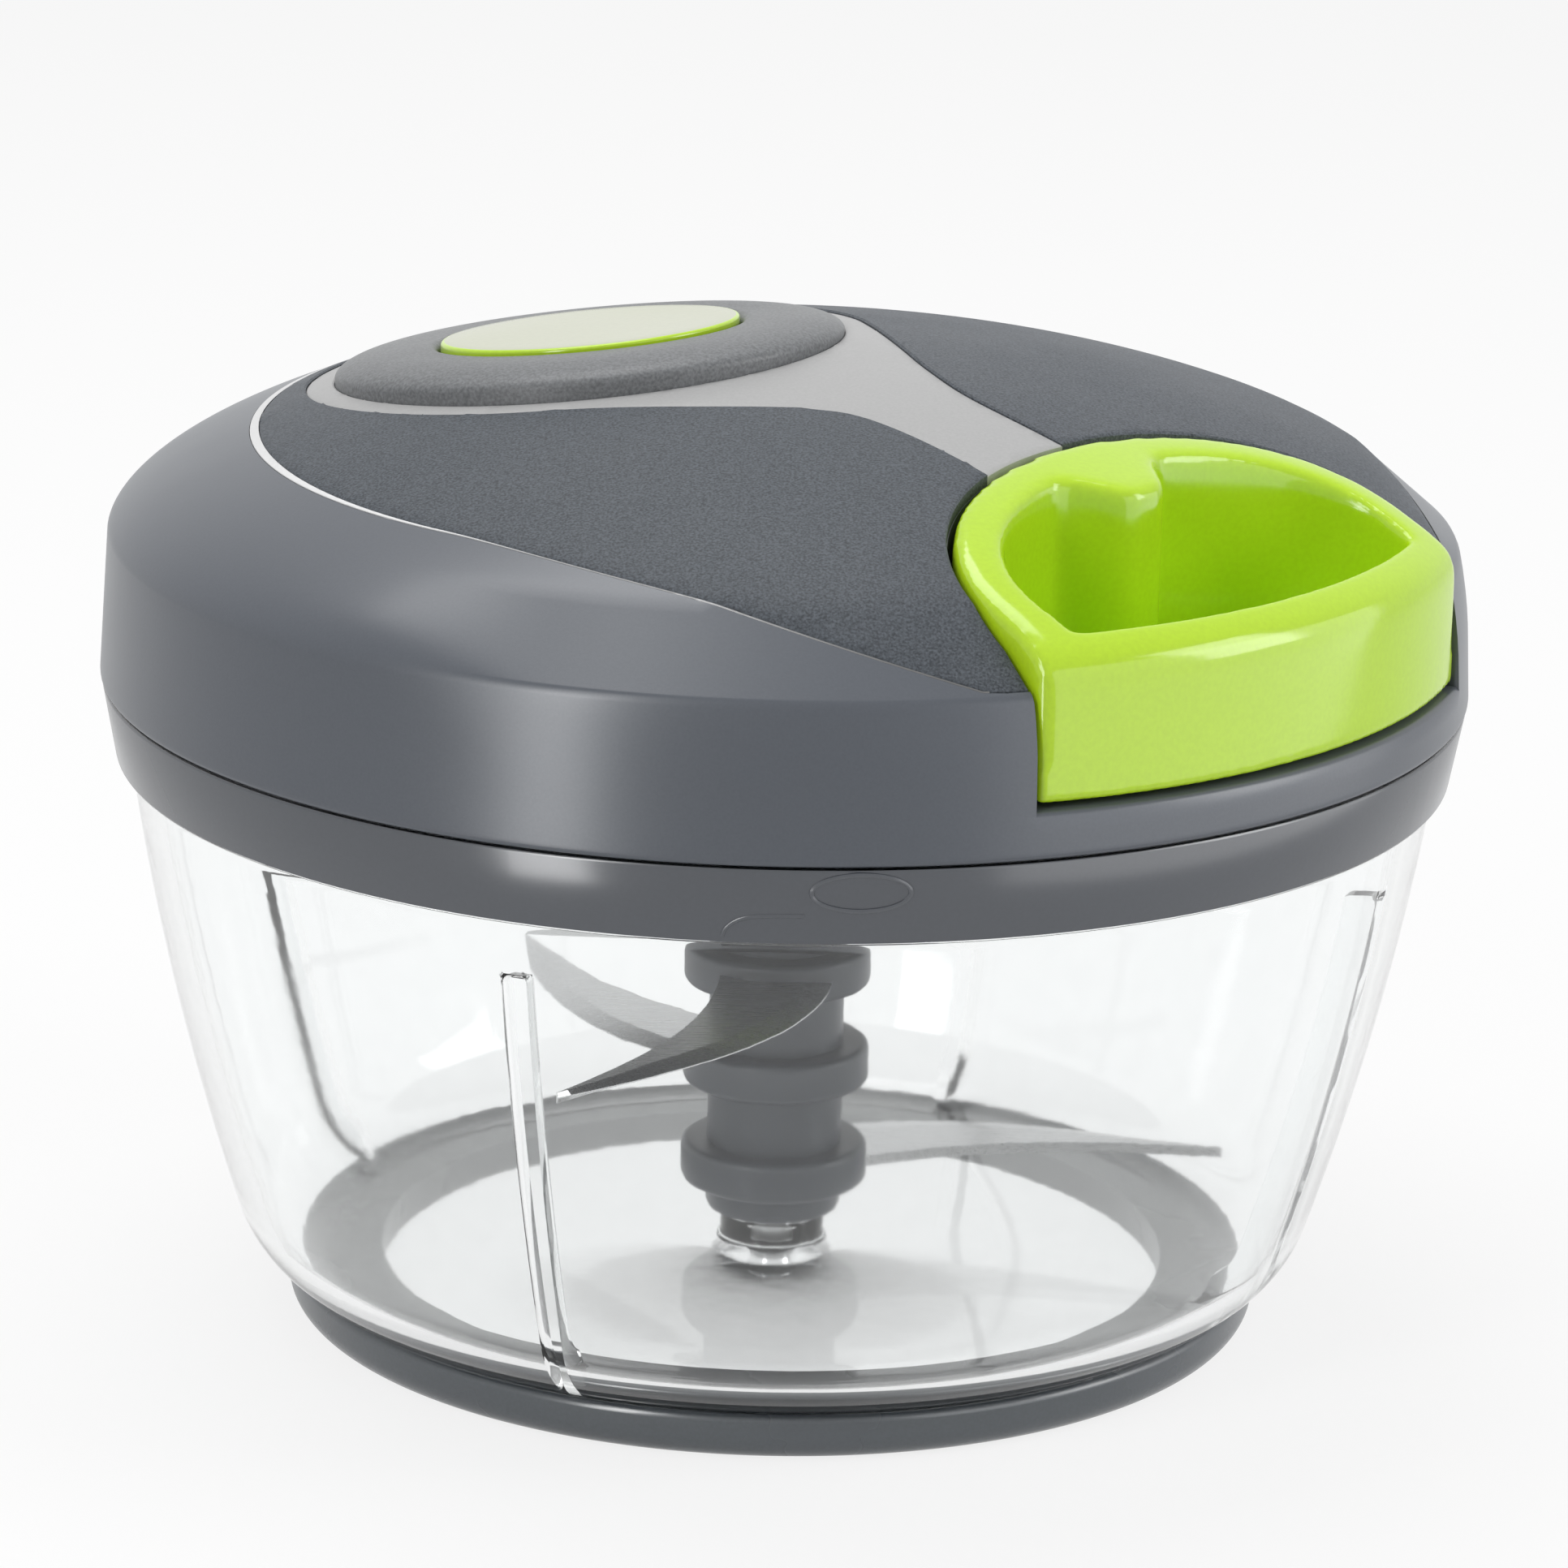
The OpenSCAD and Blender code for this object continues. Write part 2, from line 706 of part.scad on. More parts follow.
module spindle() {
    low_z = socket_top_z + 1.5 + run_h;
    color(STEEL)
        translate([0, 0, low_z])
            cylinder(r = spindle_r, h = spindle_top_z - low_z);
}

module lid_cover() {
    color(GREY)
        difference() {
            union() {
                dome_layer(-cover_wall, 0);
                intersection() {
                    dome_solid(0);
                    pocket_prism(-pocket_wall, ledge_z - pocket_wall);
                }
                intersection() {
                    dome_solid(-cover_wall / 2);
                    union() {
                        at_screws(plate_z + plate_t)
                            cylinder(r = post_r, h = apex_z);
                        translate([0, 0, reel_top_z + run_h])
                            cylinder(r = spindle_r + spindle_post_wall, h = apex_z);
                    }
                }
            }
            pocket_prism(0, ledge_z);
            intersection() {
                dome_layer(-inlay_depth, 10);
                panel_prism(0);
            }
            at_screws(plate_z)
                cylinder(r = screw_r + run_gap, h = plate_t + screw_grip + 1);
            translate([0, 0, reel_top_z])
                cylinder(r = spindle_r, h = spindle_top_z - reel_top_z);
            rotate([0, 0, pull_az])
                translate([pocket_u - pocket_wall - over, 0, cord_z])
                    rotate([0, 90, 0])
                        cylinder(r = cord_bore_r + guide_wall, h = pocket_wall + 2 * over);
        }
}

module cord_guide() {
    color(PALE_GREY)
        rotate([0, 0, pull_az])
            translate([pocket_u - pocket_wall - guide_flange_t - guide_back, 0, cord_z])
                rotate([0, 90, 0])
                    difference() {
                        union() {
                            cylinder(r = cord_bore_r + guide_wall, h = pocket_wall + guide_flange_t);
                            cylinder(r = cord_bore_r + guide_wall + guide_flange, h = guide_flange_t);
                        }
                        translate([0, 0, -over])
                            cylinder(r = cord_bore_r, h = pocket_wall + guide_flange_t + 2 * over);
                    }
}

module top_panel() {
    color(PANEL_GREY)
        difference() {
            intersection() {
                dome_layer(-inlay_depth, 0);
                panel_prism(trim_w);
            }
            strip_prism();
            pocket_prism(0, ledge_z);
        }
}

module panel_trim() {
    color([0.85, 0.86, 0.87])
        difference() {
            intersection() {
                dome_layer(-inlay_depth, 0.15);
                panel_prism(0);
            }
            panel_prism(trim_w);
            pocket_prism(0, ledge_z);
        }
}

module accent_strip() {
    color(PALE_GREY)
        difference() {
            intersection() {
                dome_layer(-inlay_depth, 0);
                strip_prism();
                panel_prism(trim_w);
            }
            crown_prism(crown_r);
            pocket_prism(0, ledge_z);
        }
}

module crown_ring() {
    steps = 6;
    edge_r = crown_r - crown_edge_w;
    color(GREY)
        difference() {
            intersection() {
                crown_turned(concat(
                    [[0, -dome_h], [crown_r + over, -dome_h], [crown_r + over, crown_rise - crown_fall - over]],
                    [for (i = [0:steps]) let (a = 90 * i / steps)
                        [edge_r + crown_edge_w * cos(a), crown_rise - crown_fall * (1 - sin(a))]],
                    [[0, crown_rise]]));
                crown_prism(crown_r);
            }
            dome_solid(-inlay_depth);
            crown_prism(cap_r);
        }
}

module crown_cap() {
    top = crown_rise + cap_rise;
    color(PALE_GREEN)
        difference() {
            intersection() {
                crown_turned([[0, -dome_h], [crown_r, -dome_h], [crown_r, top], [0, top]]);
                crown_prism(cap_r);
            }
            dome_solid(-inlay_depth);
        }
}

// The handle's top: the dome, swollen towards the front, with its front edge rounded
module handle_crown() {
    steps = 5;
    swell_r = shoulder_r + handle_swell;
    corner = [handle_r, dome_z(handle_r, swell_r)];
    below = corner - [0, handle_lip];
    inward = [handle_r - handle_lip, dome_z(handle_r - handle_lip, swell_r)];
    rotate_extrude()
        polygon(concat(
            [[0, handle_z], [handle_r, handle_z]],
            [for (i = [0:steps]) let (t = i / steps)
                (1 - t) * (1 - t) * below + 2 * t * (1 - t) * corner + t * t * inward],
            [for (p = dome_line(0)) let (q = [p[0] * swell_r / shoulder_r, p[1]])
                if (q[0] < inward[0] - 0.5) q]));
}

// The finger recess, round the cord boss
module finger_recess() {
    intersection() {
        rotate([0, 0, pull_az])
            translate([0, 0, recess_z])
                linear_extrude(apex_z)
                    polygon(concat(
                        [[mouth_past_u, -recess_half_w]],
                        recess_line(),
                        [[mouth_past_u, recess_half_w]]));
        cylinder(r = handle_r - handle_front_wall, h = 2 * apex_z);
    }
}

module pull_handle() {
    color(GREEN)
        difference() {
            intersection() {
                pocket_prism(handle_gap, handle_z);
                handle_crown();
            }
            finger_recess();
            rotate([0, 0, pull_az]) {
                translate([pocket_u, 0, cord_z])
                    rotate([0, 90, 0])
                        cylinder(r = cord_bore_r, h = knot_u - pocket_u);
                translate([knot_u, 0, handle_z - over])
                    cylinder(r = knot_r + knot_room, h = cord_z + knot_r + knot_room - handle_z + over);
            }
        }
}

module cord_knot() {
    color([0.93, 0.93, 0.9])
        rotate([0, 0, pull_az])
            translate([knot_u, 0, cord_z])
                sphere(knot_r);
}

// The cord's route from the knot through the guide to the reel
cord_route = [[33, 0], [29.5, 0], [27, -2], [19.5, -8.9]];

module pull_cord() {
    sides = 8;
    path = concat([[knot_u - knot_r + 0.1, 0]], cord_route);
    rings = len(path);
    heading = [for (i = [0:rings - 1])
        let (d = path[min(i + 1, rings - 1)] - path[max(i - 1, 0)]) d / norm(d)];
    points = [for (i = [0:rings - 1], k = [0:sides - 1])
        let (a = 360 * k / sides, across = cord_d / 2 * cos(a))
        [path[i][0] - heading[i][1] * across, path[i][1] + heading[i][0] * across,
         cord_z + cord_d / 2 * sin(a)]];
    walls = [for (i = [0:rings - 2], k = [0:sides - 1], half = [0:1])
        let (n = (k + 1) % sides, a = i * sides, b = a + sides)
        half == 0 ? [a + k, b + k, b + n] : [a + k, b + n, a + n]];
    ends = concat(
        [for (k = [1:sides - 2]) [0, k, k + 1]],
        [for (k = [1:sides - 2]) let (b = (rings - 1) * sides) [b, b + k + 1, b + k]]);
    color([0.93, 0.93, 0.9])
        rotate([0, 0, pull_az])
            polyhedron(points, concat(walls, ends));
}

bowl();
foot_ring();
pivot_pin();
blade_stem();
blade_lower();
blade_middle();
blade_upper();
lid_base();
seal_ring();
hub_bush();
lid_screws();
drive_hub();
cord_reel();
wound_cord();
return_spring();
spring_cover();
spindle();
lid_cover();
cord_guide();
top_panel();
panel_trim();
accent_strip();
crown_ring();
crown_cap();
pull_handle();
cord_knot();
pull_cord();
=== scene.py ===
import math

import bmesh
import bpy
from mathutils import Matrix, Vector


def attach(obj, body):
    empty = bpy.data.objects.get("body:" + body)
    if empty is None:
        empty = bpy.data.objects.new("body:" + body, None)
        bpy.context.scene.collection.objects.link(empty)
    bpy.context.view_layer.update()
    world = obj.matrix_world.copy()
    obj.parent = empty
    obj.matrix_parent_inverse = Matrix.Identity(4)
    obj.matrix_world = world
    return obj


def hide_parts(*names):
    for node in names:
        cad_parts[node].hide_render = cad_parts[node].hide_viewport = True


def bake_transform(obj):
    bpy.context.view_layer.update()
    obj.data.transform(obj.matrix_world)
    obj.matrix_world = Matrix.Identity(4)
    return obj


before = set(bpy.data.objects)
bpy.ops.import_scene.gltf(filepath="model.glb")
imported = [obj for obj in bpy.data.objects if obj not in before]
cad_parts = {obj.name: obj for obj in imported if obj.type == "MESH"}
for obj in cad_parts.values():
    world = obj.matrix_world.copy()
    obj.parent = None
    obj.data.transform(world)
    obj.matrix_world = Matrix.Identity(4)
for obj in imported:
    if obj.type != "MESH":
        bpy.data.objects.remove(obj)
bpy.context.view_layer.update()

# Studio
# A white table in a white room, a long lens low over the table, and soft boxes that
# lie as bands on the glossy plastic.
mm = 0.001
scene = bpy.context.scene
scene.view_settings.view_transform = "Standard"

camera_height = math.radians(16.24)
camera_roll = math.radians(1.34)
camera_distance = 0.7
camera_aim = Vector((0.0002, 0, 0.0513))
camera_data = bpy.data.cameras.new("product_lens")
camera_data.lens = 167.7
camera_data.sensor_width = 36
camera_data.clip_end = 20
camera = bpy.data.objects.new("product_lens", camera_data)
camera.rotation_euler = (
    Matrix.Rotation(math.pi / 2 - camera_height, 3, "X") @ Matrix.Rotation(camera_roll, 3, "Z")
).to_euler()
camera_side = Vector((0, -math.cos(camera_height), math.sin(camera_height)))
camera.location = camera_aim + camera_distance * camera_side
scene.collection.objects.link(camera)
scene.camera = camera


def soft_box(name, place, target, width, height, power, card=False):
    """A flat soft box that faces a point, or a card that only shows in reflections."""
    light = bpy.data.lights.new(name, "AREA")
    light.shape = "RECTANGLE"
    light.size = width
    light.size_y = height
    light.energy = power
    lamp = bpy.data.objects.new(name, light)
    lamp.location = place
    lamp.rotation_euler = (Vector(target) - Vector(place)).to_track_quat("-Z", "Y").to_euler()
    lamp.visible_camera = False
    lamp.visible_diffuse = not card
    lamp.visible_transmission = not card
    scene.collection.objects.link(lamp)


lid_middle = (0, 0, 0.06)
lid_left = (-0.021, -0.061, 0.07)
lid_right = (0.086, 0.027, 0.06)
soft_box("overhead_box", (-0.12, 0.16, 0.75), lid_middle, 0.55, 0.45, 3.2)
soft_box("front_left_box", (-0.42, -0.62, 0.46), lid_middle, 0.16, 0.5, 1.6)
soft_box("right_box", (0.62, -0.1, 0.34), lid_middle, 0.25, 0.4, 1.5)
soft_box("left_card", (-0.113, -0.179, 0.08), lid_left, 0.045, 0.16, 0.17, card=True)
soft_box("right_card", (0.21, -0.057, 0.085), lid_right, 0.34, 0.17, 0.3, card=True)


def seen_directly(tree):
    """One where a ray comes from the lens, a mirror or clear plastic, otherwise nothing."""
    path = tree.nodes.new("ShaderNodeLightPath")
    total = path.outputs["Is Camera Ray"]
    for kind in ("Is Glossy Ray", "Is Transmission Ray"):
        join = tree.nodes.new("ShaderNodeMath")
        join.operation = "MAXIMUM"
        tree.links.new(total, join.inputs[0])
        tree.links.new(path.outputs[kind], join.inputs[1])
        total = join.outputs[0]
    return total


room_white = 1.0
room_fill = 0.42
room = bpy.data.worlds.new("white_room")
room.use_nodes = True
scene.world = room
room_nodes = room.node_tree.nodes
room_light = room_nodes["Background"]
room_strength = room_nodes.new("ShaderNodeMapRange")
room_strength.inputs["To Min"].default_value = room_fill
room_strength.inputs["To Max"].default_value = room_white
room_light.inputs["Color"].default_value = (1, 1, 1, 1)
room.node_tree.links.new(seen_directly(room.node_tree), room_strength.inputs["Value"])
room.node_tree.links.new(room_strength.outputs["Result"], room_light.inputs["Strength"])

table_size = 3.0
table_gap = 0.05
table_tone = 0.88
table_glow = 0.82
table_shape = bmesh.new()
bmesh.ops.create_grid(table_shape, x_segments=1, y_segments=1, size=table_size,
                      matrix=Matrix.Translation((0, 0, -table_gap * mm)))
table_mesh = bpy.data.meshes.new("table")
table_shape.to_mesh(table_mesh)
table_shape.free()
table = bpy.data.objects.new("table", table_mesh)
scene.collection.objects.link(table)
table_paint = bpy.data.materials.new("white_table")
table_paint.use_nodes = True
table_nodes = table_paint.node_tree.nodes
table_nodes.remove(table_nodes["Principled BSDF"])
table_matt = table_nodes.new("ShaderNodeBsdfDiffuse")
table_matt.inputs["Color"].default_value = (table_tone, table_tone, table_tone, 1)
table_white = table_nodes.new("ShaderNodeEmission")
table_mix = table_nodes.new("ShaderNodeMixShader")
table_share = table_nodes.new("ShaderNodeMath")
table_share.operation = "MULTIPLY"
table_share.inputs[1].default_value = table_glow
table_links = table_paint.node_tree.links
table_links.new(seen_directly(table_paint.node_tree), table_share.inputs[0])
table_links.new(table_share.outputs[0], table_mix.inputs[0])
table_links.new(table_matt.outputs[0], table_mix.inputs[1])
table_links.new(table_white.outputs[0], table_mix.inputs[2])
table_links.new(table_mix.outputs[0], table_nodes["Material Output"].inputs["Surface"])
table_mesh.materials.append(table_paint)


# Foot ring
# A soft grey ring moulded under the bowl, flat where it stands, with a rounded side that
# draws in under the bowl's clear corner. It grips the table while the cord is pulled.
bowl_z = 4.0
bowl_low = (52.1, 11.0)
bowl_top = (62.2, 55.0)
bowl_bulge = 1.0
wall_run = bowl_top[1] - bowl_low[1]
wall_rise = bowl_top[0] - bowl_low[0]
low_lean = math.atan((wall_rise + 4 * bowl_bulge) / wall_run)
corner_r = (bowl_low[1] - bowl_z) / (1 - math.sin(low_lean))
corner_x = bowl_low[0] - corner_r * math.cos(low_lean)
corner_z = bowl_z + corner_r
corner_steps = 14
foot_in_r = 38.0
foot_in_edge = 0.5
foot_flat_r = 44.3
foot_side = ((44.6, 2.4), 2.3)
foot_lip = ((46.2, 3.9), 0.7)
foot_seat_r = 46.0
foot_gap = 0.05


def arc(centre, radius, start, end, steps):
    """Points of an arc in the turning plane, angles in degrees."""
    turns = [math.radians(start + (end - start) * i / steps) for i in range(steps + 1)]
    return [(centre[0] + radius * math.cos(a), centre[1] + radius * math.sin(a)) for a in turns]


def bowl_corner(off):
    """The rounded lower corner of the bowl, moved out by off."""
    return arc((corner_x, corner_z), corner_r + off, -90, -math.degrees(low_lean), corner_steps)


def turned(outline, steps=192):
    """A closed shape turned about the blade axis from (radius, height) points."""
    shape = bmesh.new()
    ring = [shape.verts.new((r * mm, 0, z * mm)) for r, z in outline]
    follow = ring[1:] + ring[:1]
    if outline[0][0] == 0 and outline[-1][0] == 0:
        follow = ring[1:]
    edges = [shape.edges.new(pair) for pair in zip(ring, follow)]
    bmesh.ops.spin(shape, geom=ring + edges, cent=(0, 0, 0), axis=(0, 0, 1),
                   angle=2 * math.pi, steps=steps, use_merge=True)
    bmesh.ops.remove_doubles(shape, verts=shape.verts, dist=0.002 * mm)
    bmesh.ops.recalc_face_normals(shape, faces=shape.faces)
    return shape


def piece(name, shape, materials, body, slot, *nodes, crease=32):
    """Makes the finished object of a shape, on the body that carries it."""
    mesh = bpy.data.meshes.new(name)
    shape.to_mesh(mesh)
    shape.free()
    mesh.shade_smooth()
    mesh.set_sharp_from_angle(angle=math.radians(crease))
    for material in materials:
        mesh.materials.append(material)
    made = bpy.data.objects.new(name, mesh)
    scene.collection.objects.link(made)
    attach(made, body)
    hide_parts(*nodes)


def new_finish(name):
    """A new material, with its nodes, links and shader."""
    material = bpy.data.materials.new(name)
    material.use_nodes = True
    tree = material.node_tree
    return material, tree.nodes, tree.links, tree.nodes["Principled BSDF"]


def moulded(name, colour, roughness, grain, depth, speckle=0.04, spread=0.05, shine=0.5):
    """Moulded plastic: cloudy gloss, and a grain of that size and depth in millimetres."""
    material, nodes, links, shader = new_finish(name)
    shader.inputs["Specular IOR Level"].default_value = shine
    place = nodes.new("ShaderNodeTexCoord")
    cloud = nodes.new("ShaderNodeTexNoise")
    cloud.inputs["Scale"].default_value = 45
    cloud.inputs["Detail"].default_value = 4
    skin = nodes.new("ShaderNodeTexNoise")
    skin.inputs["Scale"].default_value = 1 / (grain * mm)
    skin.inputs["Detail"].default_value = 2
    gloss = nodes.new("ShaderNodeMapRange")
    gloss.inputs["From Min"].default_value = 0.3
    gloss.inputs["From Max"].default_value = 0.7
    gloss.inputs["To Min"].default_value = roughness - spread
    gloss.inputs["To Max"].default_value = roughness + spread
    dots = nodes.new("ShaderNodeMapRange")
    dots.inputs["From Min"].default_value = 0.32
    dots.inputs["From Max"].default_value = 0.68
    tone = nodes.new("ShaderNodeMix")
    tone.data_type = "RGBA"
    tone.inputs[6].default_value = [c * (1 - speckle) for c in colour] + [1]
    tone.inputs[7].default_value = [c * (1 + speckle) for c in colour] + [1]
    relief = nodes.new("ShaderNodeBump")
    relief.inputs["Strength"].default_value = 1.0
    relief.inputs["Distance"].default_value = depth * mm
    links.new(place.outputs["Object"], cloud.inputs["Vector"])
    links.new(place.outputs["Object"], skin.inputs["Vector"])
    links.new(cloud.outputs["Fac"], gloss.inputs["Value"])
    links.new(gloss.outputs["Result"], shader.inputs["Roughness"])
    links.new(skin.outputs["Fac"], dots.inputs["Value"])
    links.new(dots.outputs["Result"], tone.inputs["Factor"])
    links.new(tone.outputs[2], shader.inputs["Base Color"])
    links.new(skin.outputs["Fac"], relief.inputs["Height"])
    links.new(relief.outputs["Normal"], shader.inputs["Normal"])
    return material


foot_rubber = moulded("foot_rubber", (0.088, 0.1, 0.112), 0.26, 0.35, 0.004, shine=0.7)
foot_seat = [p for p in bowl_corner(foot_gap) if p[0] < foot_seat_r]
foot_profile = (
    [(foot_in_r, foot_in_edge), (foot_in_r + foot_in_edge, 0), (foot_flat_r, 0)]
    + arc(*foot_side, -75, 0, 14)
    + arc(*foot_lip, 0, 90, 6)
    + foot_seat[::-1]
    + [(foot_in_r, bowl_z - foot_gap)]
)
piece("foot_ring_soft", turned(foot_profile), [foot_rubber], "bowl", "soft_foot", "foot_ring")


# Bowl
# Clear moulded plastic with a stepped collar round its rim, four upright ribs inside the
# wall and a small boss for the steel pin in its floor. The collar's outside is finished grey.
bowl_wall = 2.2
wall_steps = 24
floor_z = bowl_z + bowl_wall
boss_r = 5.0
boss_z = floor_z + 2.5
boss_round = 0.4
boss_fillet = 0.6
pin_hole_r = 2.03
rim_z = 62.5
rim_r = 64.8
rim_in_r = 62.2
rim_round = 0.4
collar_z = 55.0
collar_r = 63.6
collar_round = 0.5
collar_ledge_z = 55.7
collar_ledge_in = 0.3
rib_angle = -113
rib_count = 4
rib_depth = 2.4
rib_w = 2.0
rib_mid_r = 55.0
rib_top_s = (49.0 - bowl_low[1]) / wall_run
rib_end_s = 0.025
rib_foot = (-82, -58)
rib_flank = (0.78, 1.08)
rib_span = 3.2
rib_steps = 16
plain_steps = 46


def wall_point(s, off):
    """A point of the bowl's wall at share s of its height, moved out by off."""
    lean = math.atan((wall_rise + 4 * bowl_bulge * (1 - 2 * s)) / wall_run)
    radius = bowl_low[0] + s * wall_rise + 4 * bowl_bulge * s * (1 - s)
    return (radius + off * math.cos(lean), bowl_low[1] + s * wall_run - off * math.sin(lean))


def eased(low, high, value):
    """Nothing below low, one above high, and a smooth rise between."""
    part = min(1.0, max(0.0, (value - low) / (high - low)))
    return part * part * (3 - 2 * part)


def spare_object(shape):
    """A spare object that holds a shape while a modifier works on it."""
    mesh = bpy.data.meshes.new("spare")
    shape.to_mesh(mesh)
    shape.free()
    spare = bpy.data.objects.new("spare", mesh)
    scene.collection.objects.link(spare)
    return spare


def read_back(spare):
    """The shape of a spare object after its modifiers."""
    bpy.context.view_layer.update()
    seen = spare.evaluated_get(bpy.context.evaluated_depsgraph_get())
    shape = bmesh.new()
    shape.from_mesh(seen.to_mesh())
    seen.to_mesh_clear()
    return shape


def drop_spare(spare):
    """Removes a spare object and its mesh."""
    mesh = spare.data
    bpy.data.objects.remove(spare)
    bpy.data.meshes.remove(mesh)


def cut(shape, tool, operation="DIFFERENCE"):
    """Carves or joins one shape with another and returns the result."""
    target = spare_object(shape)
    cutter = spare_object(tool)
    carve = target.modifiers.new("carve", "BOOLEAN")
    carve.operation = operation
    carve.solver = "EXACT"
    carve.object = cutter
    result = read_back(target)
    drop_spare(target)
    drop_spare(cutter)
    bmesh.ops.dissolve_degenerate(result, dist=0.0005 * mm, edges=result.edges[:])
    return result


def prism(outline, low, high, turn=0.0):
    """An upright prism over a plan outline, turned about the blade axis."""
    shape = bmesh.new()
    floor = shape.faces.new([shape.verts.new((x * mm, y * mm, low * mm)) for x, y in outline])
    raised = bmesh.ops.extrude_face_region(shape, geom=[floor])
    top = [v for v in raised["geom"] if isinstance(v, bmesh.types.BMVert)]
    bmesh.ops.translate(shape, verts=top, vec=(0, 0, (high - low) * mm))
    bmesh.ops.rotate(shape, verts=shape.verts, cent=(0, 0, 0),
                     matrix=Matrix.Rotation(math.radians(turn), 3, "Z"))
    bmesh.ops.recalc_face_normals(shape, faces=shape.faces)
    return shape


def tube(points, radius):
    """A round tube along points in millimetres."""
    curve = bpy.data.curves.new("spare", "CURVE")
    curve.dimensions = "3D"
    curve.bevel_depth = radius * mm
    curve.bevel_resolution = 4
    curve.use_fill_caps = True
    line = curve.splines.new("POLY")
    line.points.add(len(points) - 1)
    for spot, point in zip(line.points, points):
        spot.co = (*(Vector(point) * mm), 1)
    spare = bpy.data.objects.new("spare", curve)
    scene.collection.objects.link(spare)
    shape = read_back(spare)
    bpy.data.objects.remove(spare)
    bpy.data.curves.remove(curve)
    bmesh.ops.remove_doubles(shape, verts=shape.verts, dist=0.001 * mm)
    bmesh.ops.recalc_face_normals(shape, faces=shape.faces)
    return shape


def smooth_line(points, steps=8):
    """A smooth line through given points."""
    line = []
    last = len(points) - 1
    for i in range(last):
        a, b, c, d = (Vector(points[j]) for j in (max(i - 1, 0), i, i + 1, min(i + 2, last)))
        for k in range(steps):
            t = k / steps
            line.append(tuple(0.5 * (2 * b + (c - a) * t + (2 * a - 5 * b + 4 * c - d) * t * t
                                     + (3 * b - a - 3 * c + d) * t ** 3)))
    return line + [tuple(points[last])]


clear_plastic = moulded("clear_plastic", (0.975, 0.985, 0.985), 0.035, 3.0, 0.004, 0.008, 0.02)
clear_shader = clear_plastic.node_tree.nodes["Principled BSDF"]
clear_shader.inputs["Transmission Weight"].default_value = 1.0
clear_shader.inputs["IOR"].default_value = 1.47

plain_shares = [i / wall_steps for i in range(1, wall_steps + 1)]
ribbed_shares = sorted(plain_shares + [rib_top_s - rib_end_s * i / 4 for i in range(5)])


def bowl_inside(depth):
    """The bowl's inner line from the floor up, with a rib of that depth that fades at both ends."""
    line = []
    for i in range(corner_steps + 1):
        a = -90 + (90 - math.degrees(low_lean)) * i / corner_steps
        inner_r = corner_r - bowl_wall - depth * eased(*rib_foot, a)
        line.append(arc((corner_x, corner_z), inner_r, a, a, 1)[0])
    for s in ribbed_shares:
        rib = depth * (1 - eased(rib_top_s - rib_end_s, rib_top_s, s))
        line.append(wall_point(s, -bowl_wall - rib))
    return line


pin_boss = (
    [(0, floor_z), (pin_hole_r, floor_z), (pin_hole_r, boss_z)]
    + arc((boss_r - boss_round, boss_z - boss_round), boss_round, 90, 0, 4)
    + arc((boss_r + boss_fillet, floor_z + boss_fillet), boss_fillet, 180, 270, 4)
)
collar = (
    arc((collar_r - collar_round, collar_z + collar_round), collar_round, -90, -8, 5)
    + arc((rim_r - collar_round, rim_z - collar_round), collar_round, 8, 90, 5)
    + [(rim_in_r + rim_round, rim_z)]
    + arc((rim_in_r + rim_round, rim_z - rim_round), rim_round, 90, 180, 4)
    + [(rim_in_r, collar_ledge_z), (wall_point(1, -bowl_wall)[0] + collar_ledge_in, collar_ledge_z)]
)
bowl_outside = [(0, bowl_z)] + bowl_corner(0) + [wall_point(s, 0) for s in plain_shares] + collar
bowl_profile = bowl_outside + bowl_inside(0)[::-1] + pin_boss[::-1]
ribbed_profile = bowl_outside + bowl_inside(rib_depth)[::-1] + pin_boss[::-1]

# The line is spun in sections, close-set over each rib, and the ribs are then raised from it
rib_start = rib_angle - rib_span / 2
bowl_shape = bmesh.new()
rib_out = bowl_shape.verts.layers.float.new("rib_out")
rib_up = bowl_shape.verts.layers.float.new("rib_up")
bowl_line = []
for plain, ribbed in zip(bowl_profile, ribbed_profile):
    v = bowl_shape.verts.new((plain[0] * mm, 0, plain[1] * mm))
    v[rib_out] = ribbed[0] - plain[0]
    v[rib_up] = ribbed[1] - plain[1]
    bowl_line.append(v)
bowl_edges = [bowl_shape.edges.new(pair) for pair in zip(bowl_line, bowl_line[1:])]
bmesh.ops.rotate(bowl_shape, verts=bowl_line, cent=(0, 0, 0),
                 matrix=Matrix.Rotation(math.radians(rib_start), 3, "Z"))
bowl_end = bowl_line + bowl_edges
for span, steps in [(rib_span, rib_steps), (360 / rib_count - rib_span, plain_steps)] * rib_count:
    bowl_end = bmesh.ops.spin(bowl_shape, geom=bowl_end, cent=(0, 0, 0), axis=(0, 0, 1),
                              angle=math.radians(span), steps=steps)["geom_last"]
bmesh.ops.remove_doubles(bowl_shape, verts=bowl_shape.verts, dist=0.002 * mm)
rib_half_turn = math.degrees(rib_w / 2 / rib_mid_r)
for v in bowl_shape.verts:
    reach = math.hypot(v.co.x, v.co.y)
    if reach > 0 and (v[rib_out] or v[rib_up]):
        turn = math.degrees(math.atan2(v.co.y, v.co.x)) - rib_start
        aside = abs(turn % (360 / rib_count) - rib_span / 2) / rib_half_turn
        rib_share = 1 - eased(*rib_flank, aside)
        grown = (reach + rib_share * v[rib_out] * mm) / reach
        v.co = Vector((v.co.x * grown, v.co.y * grown, v.co.z + rib_share * v[rib_up] * mm))
bmesh.ops.recalc_face_normals(bowl_shape, faces=bowl_shape.faces)

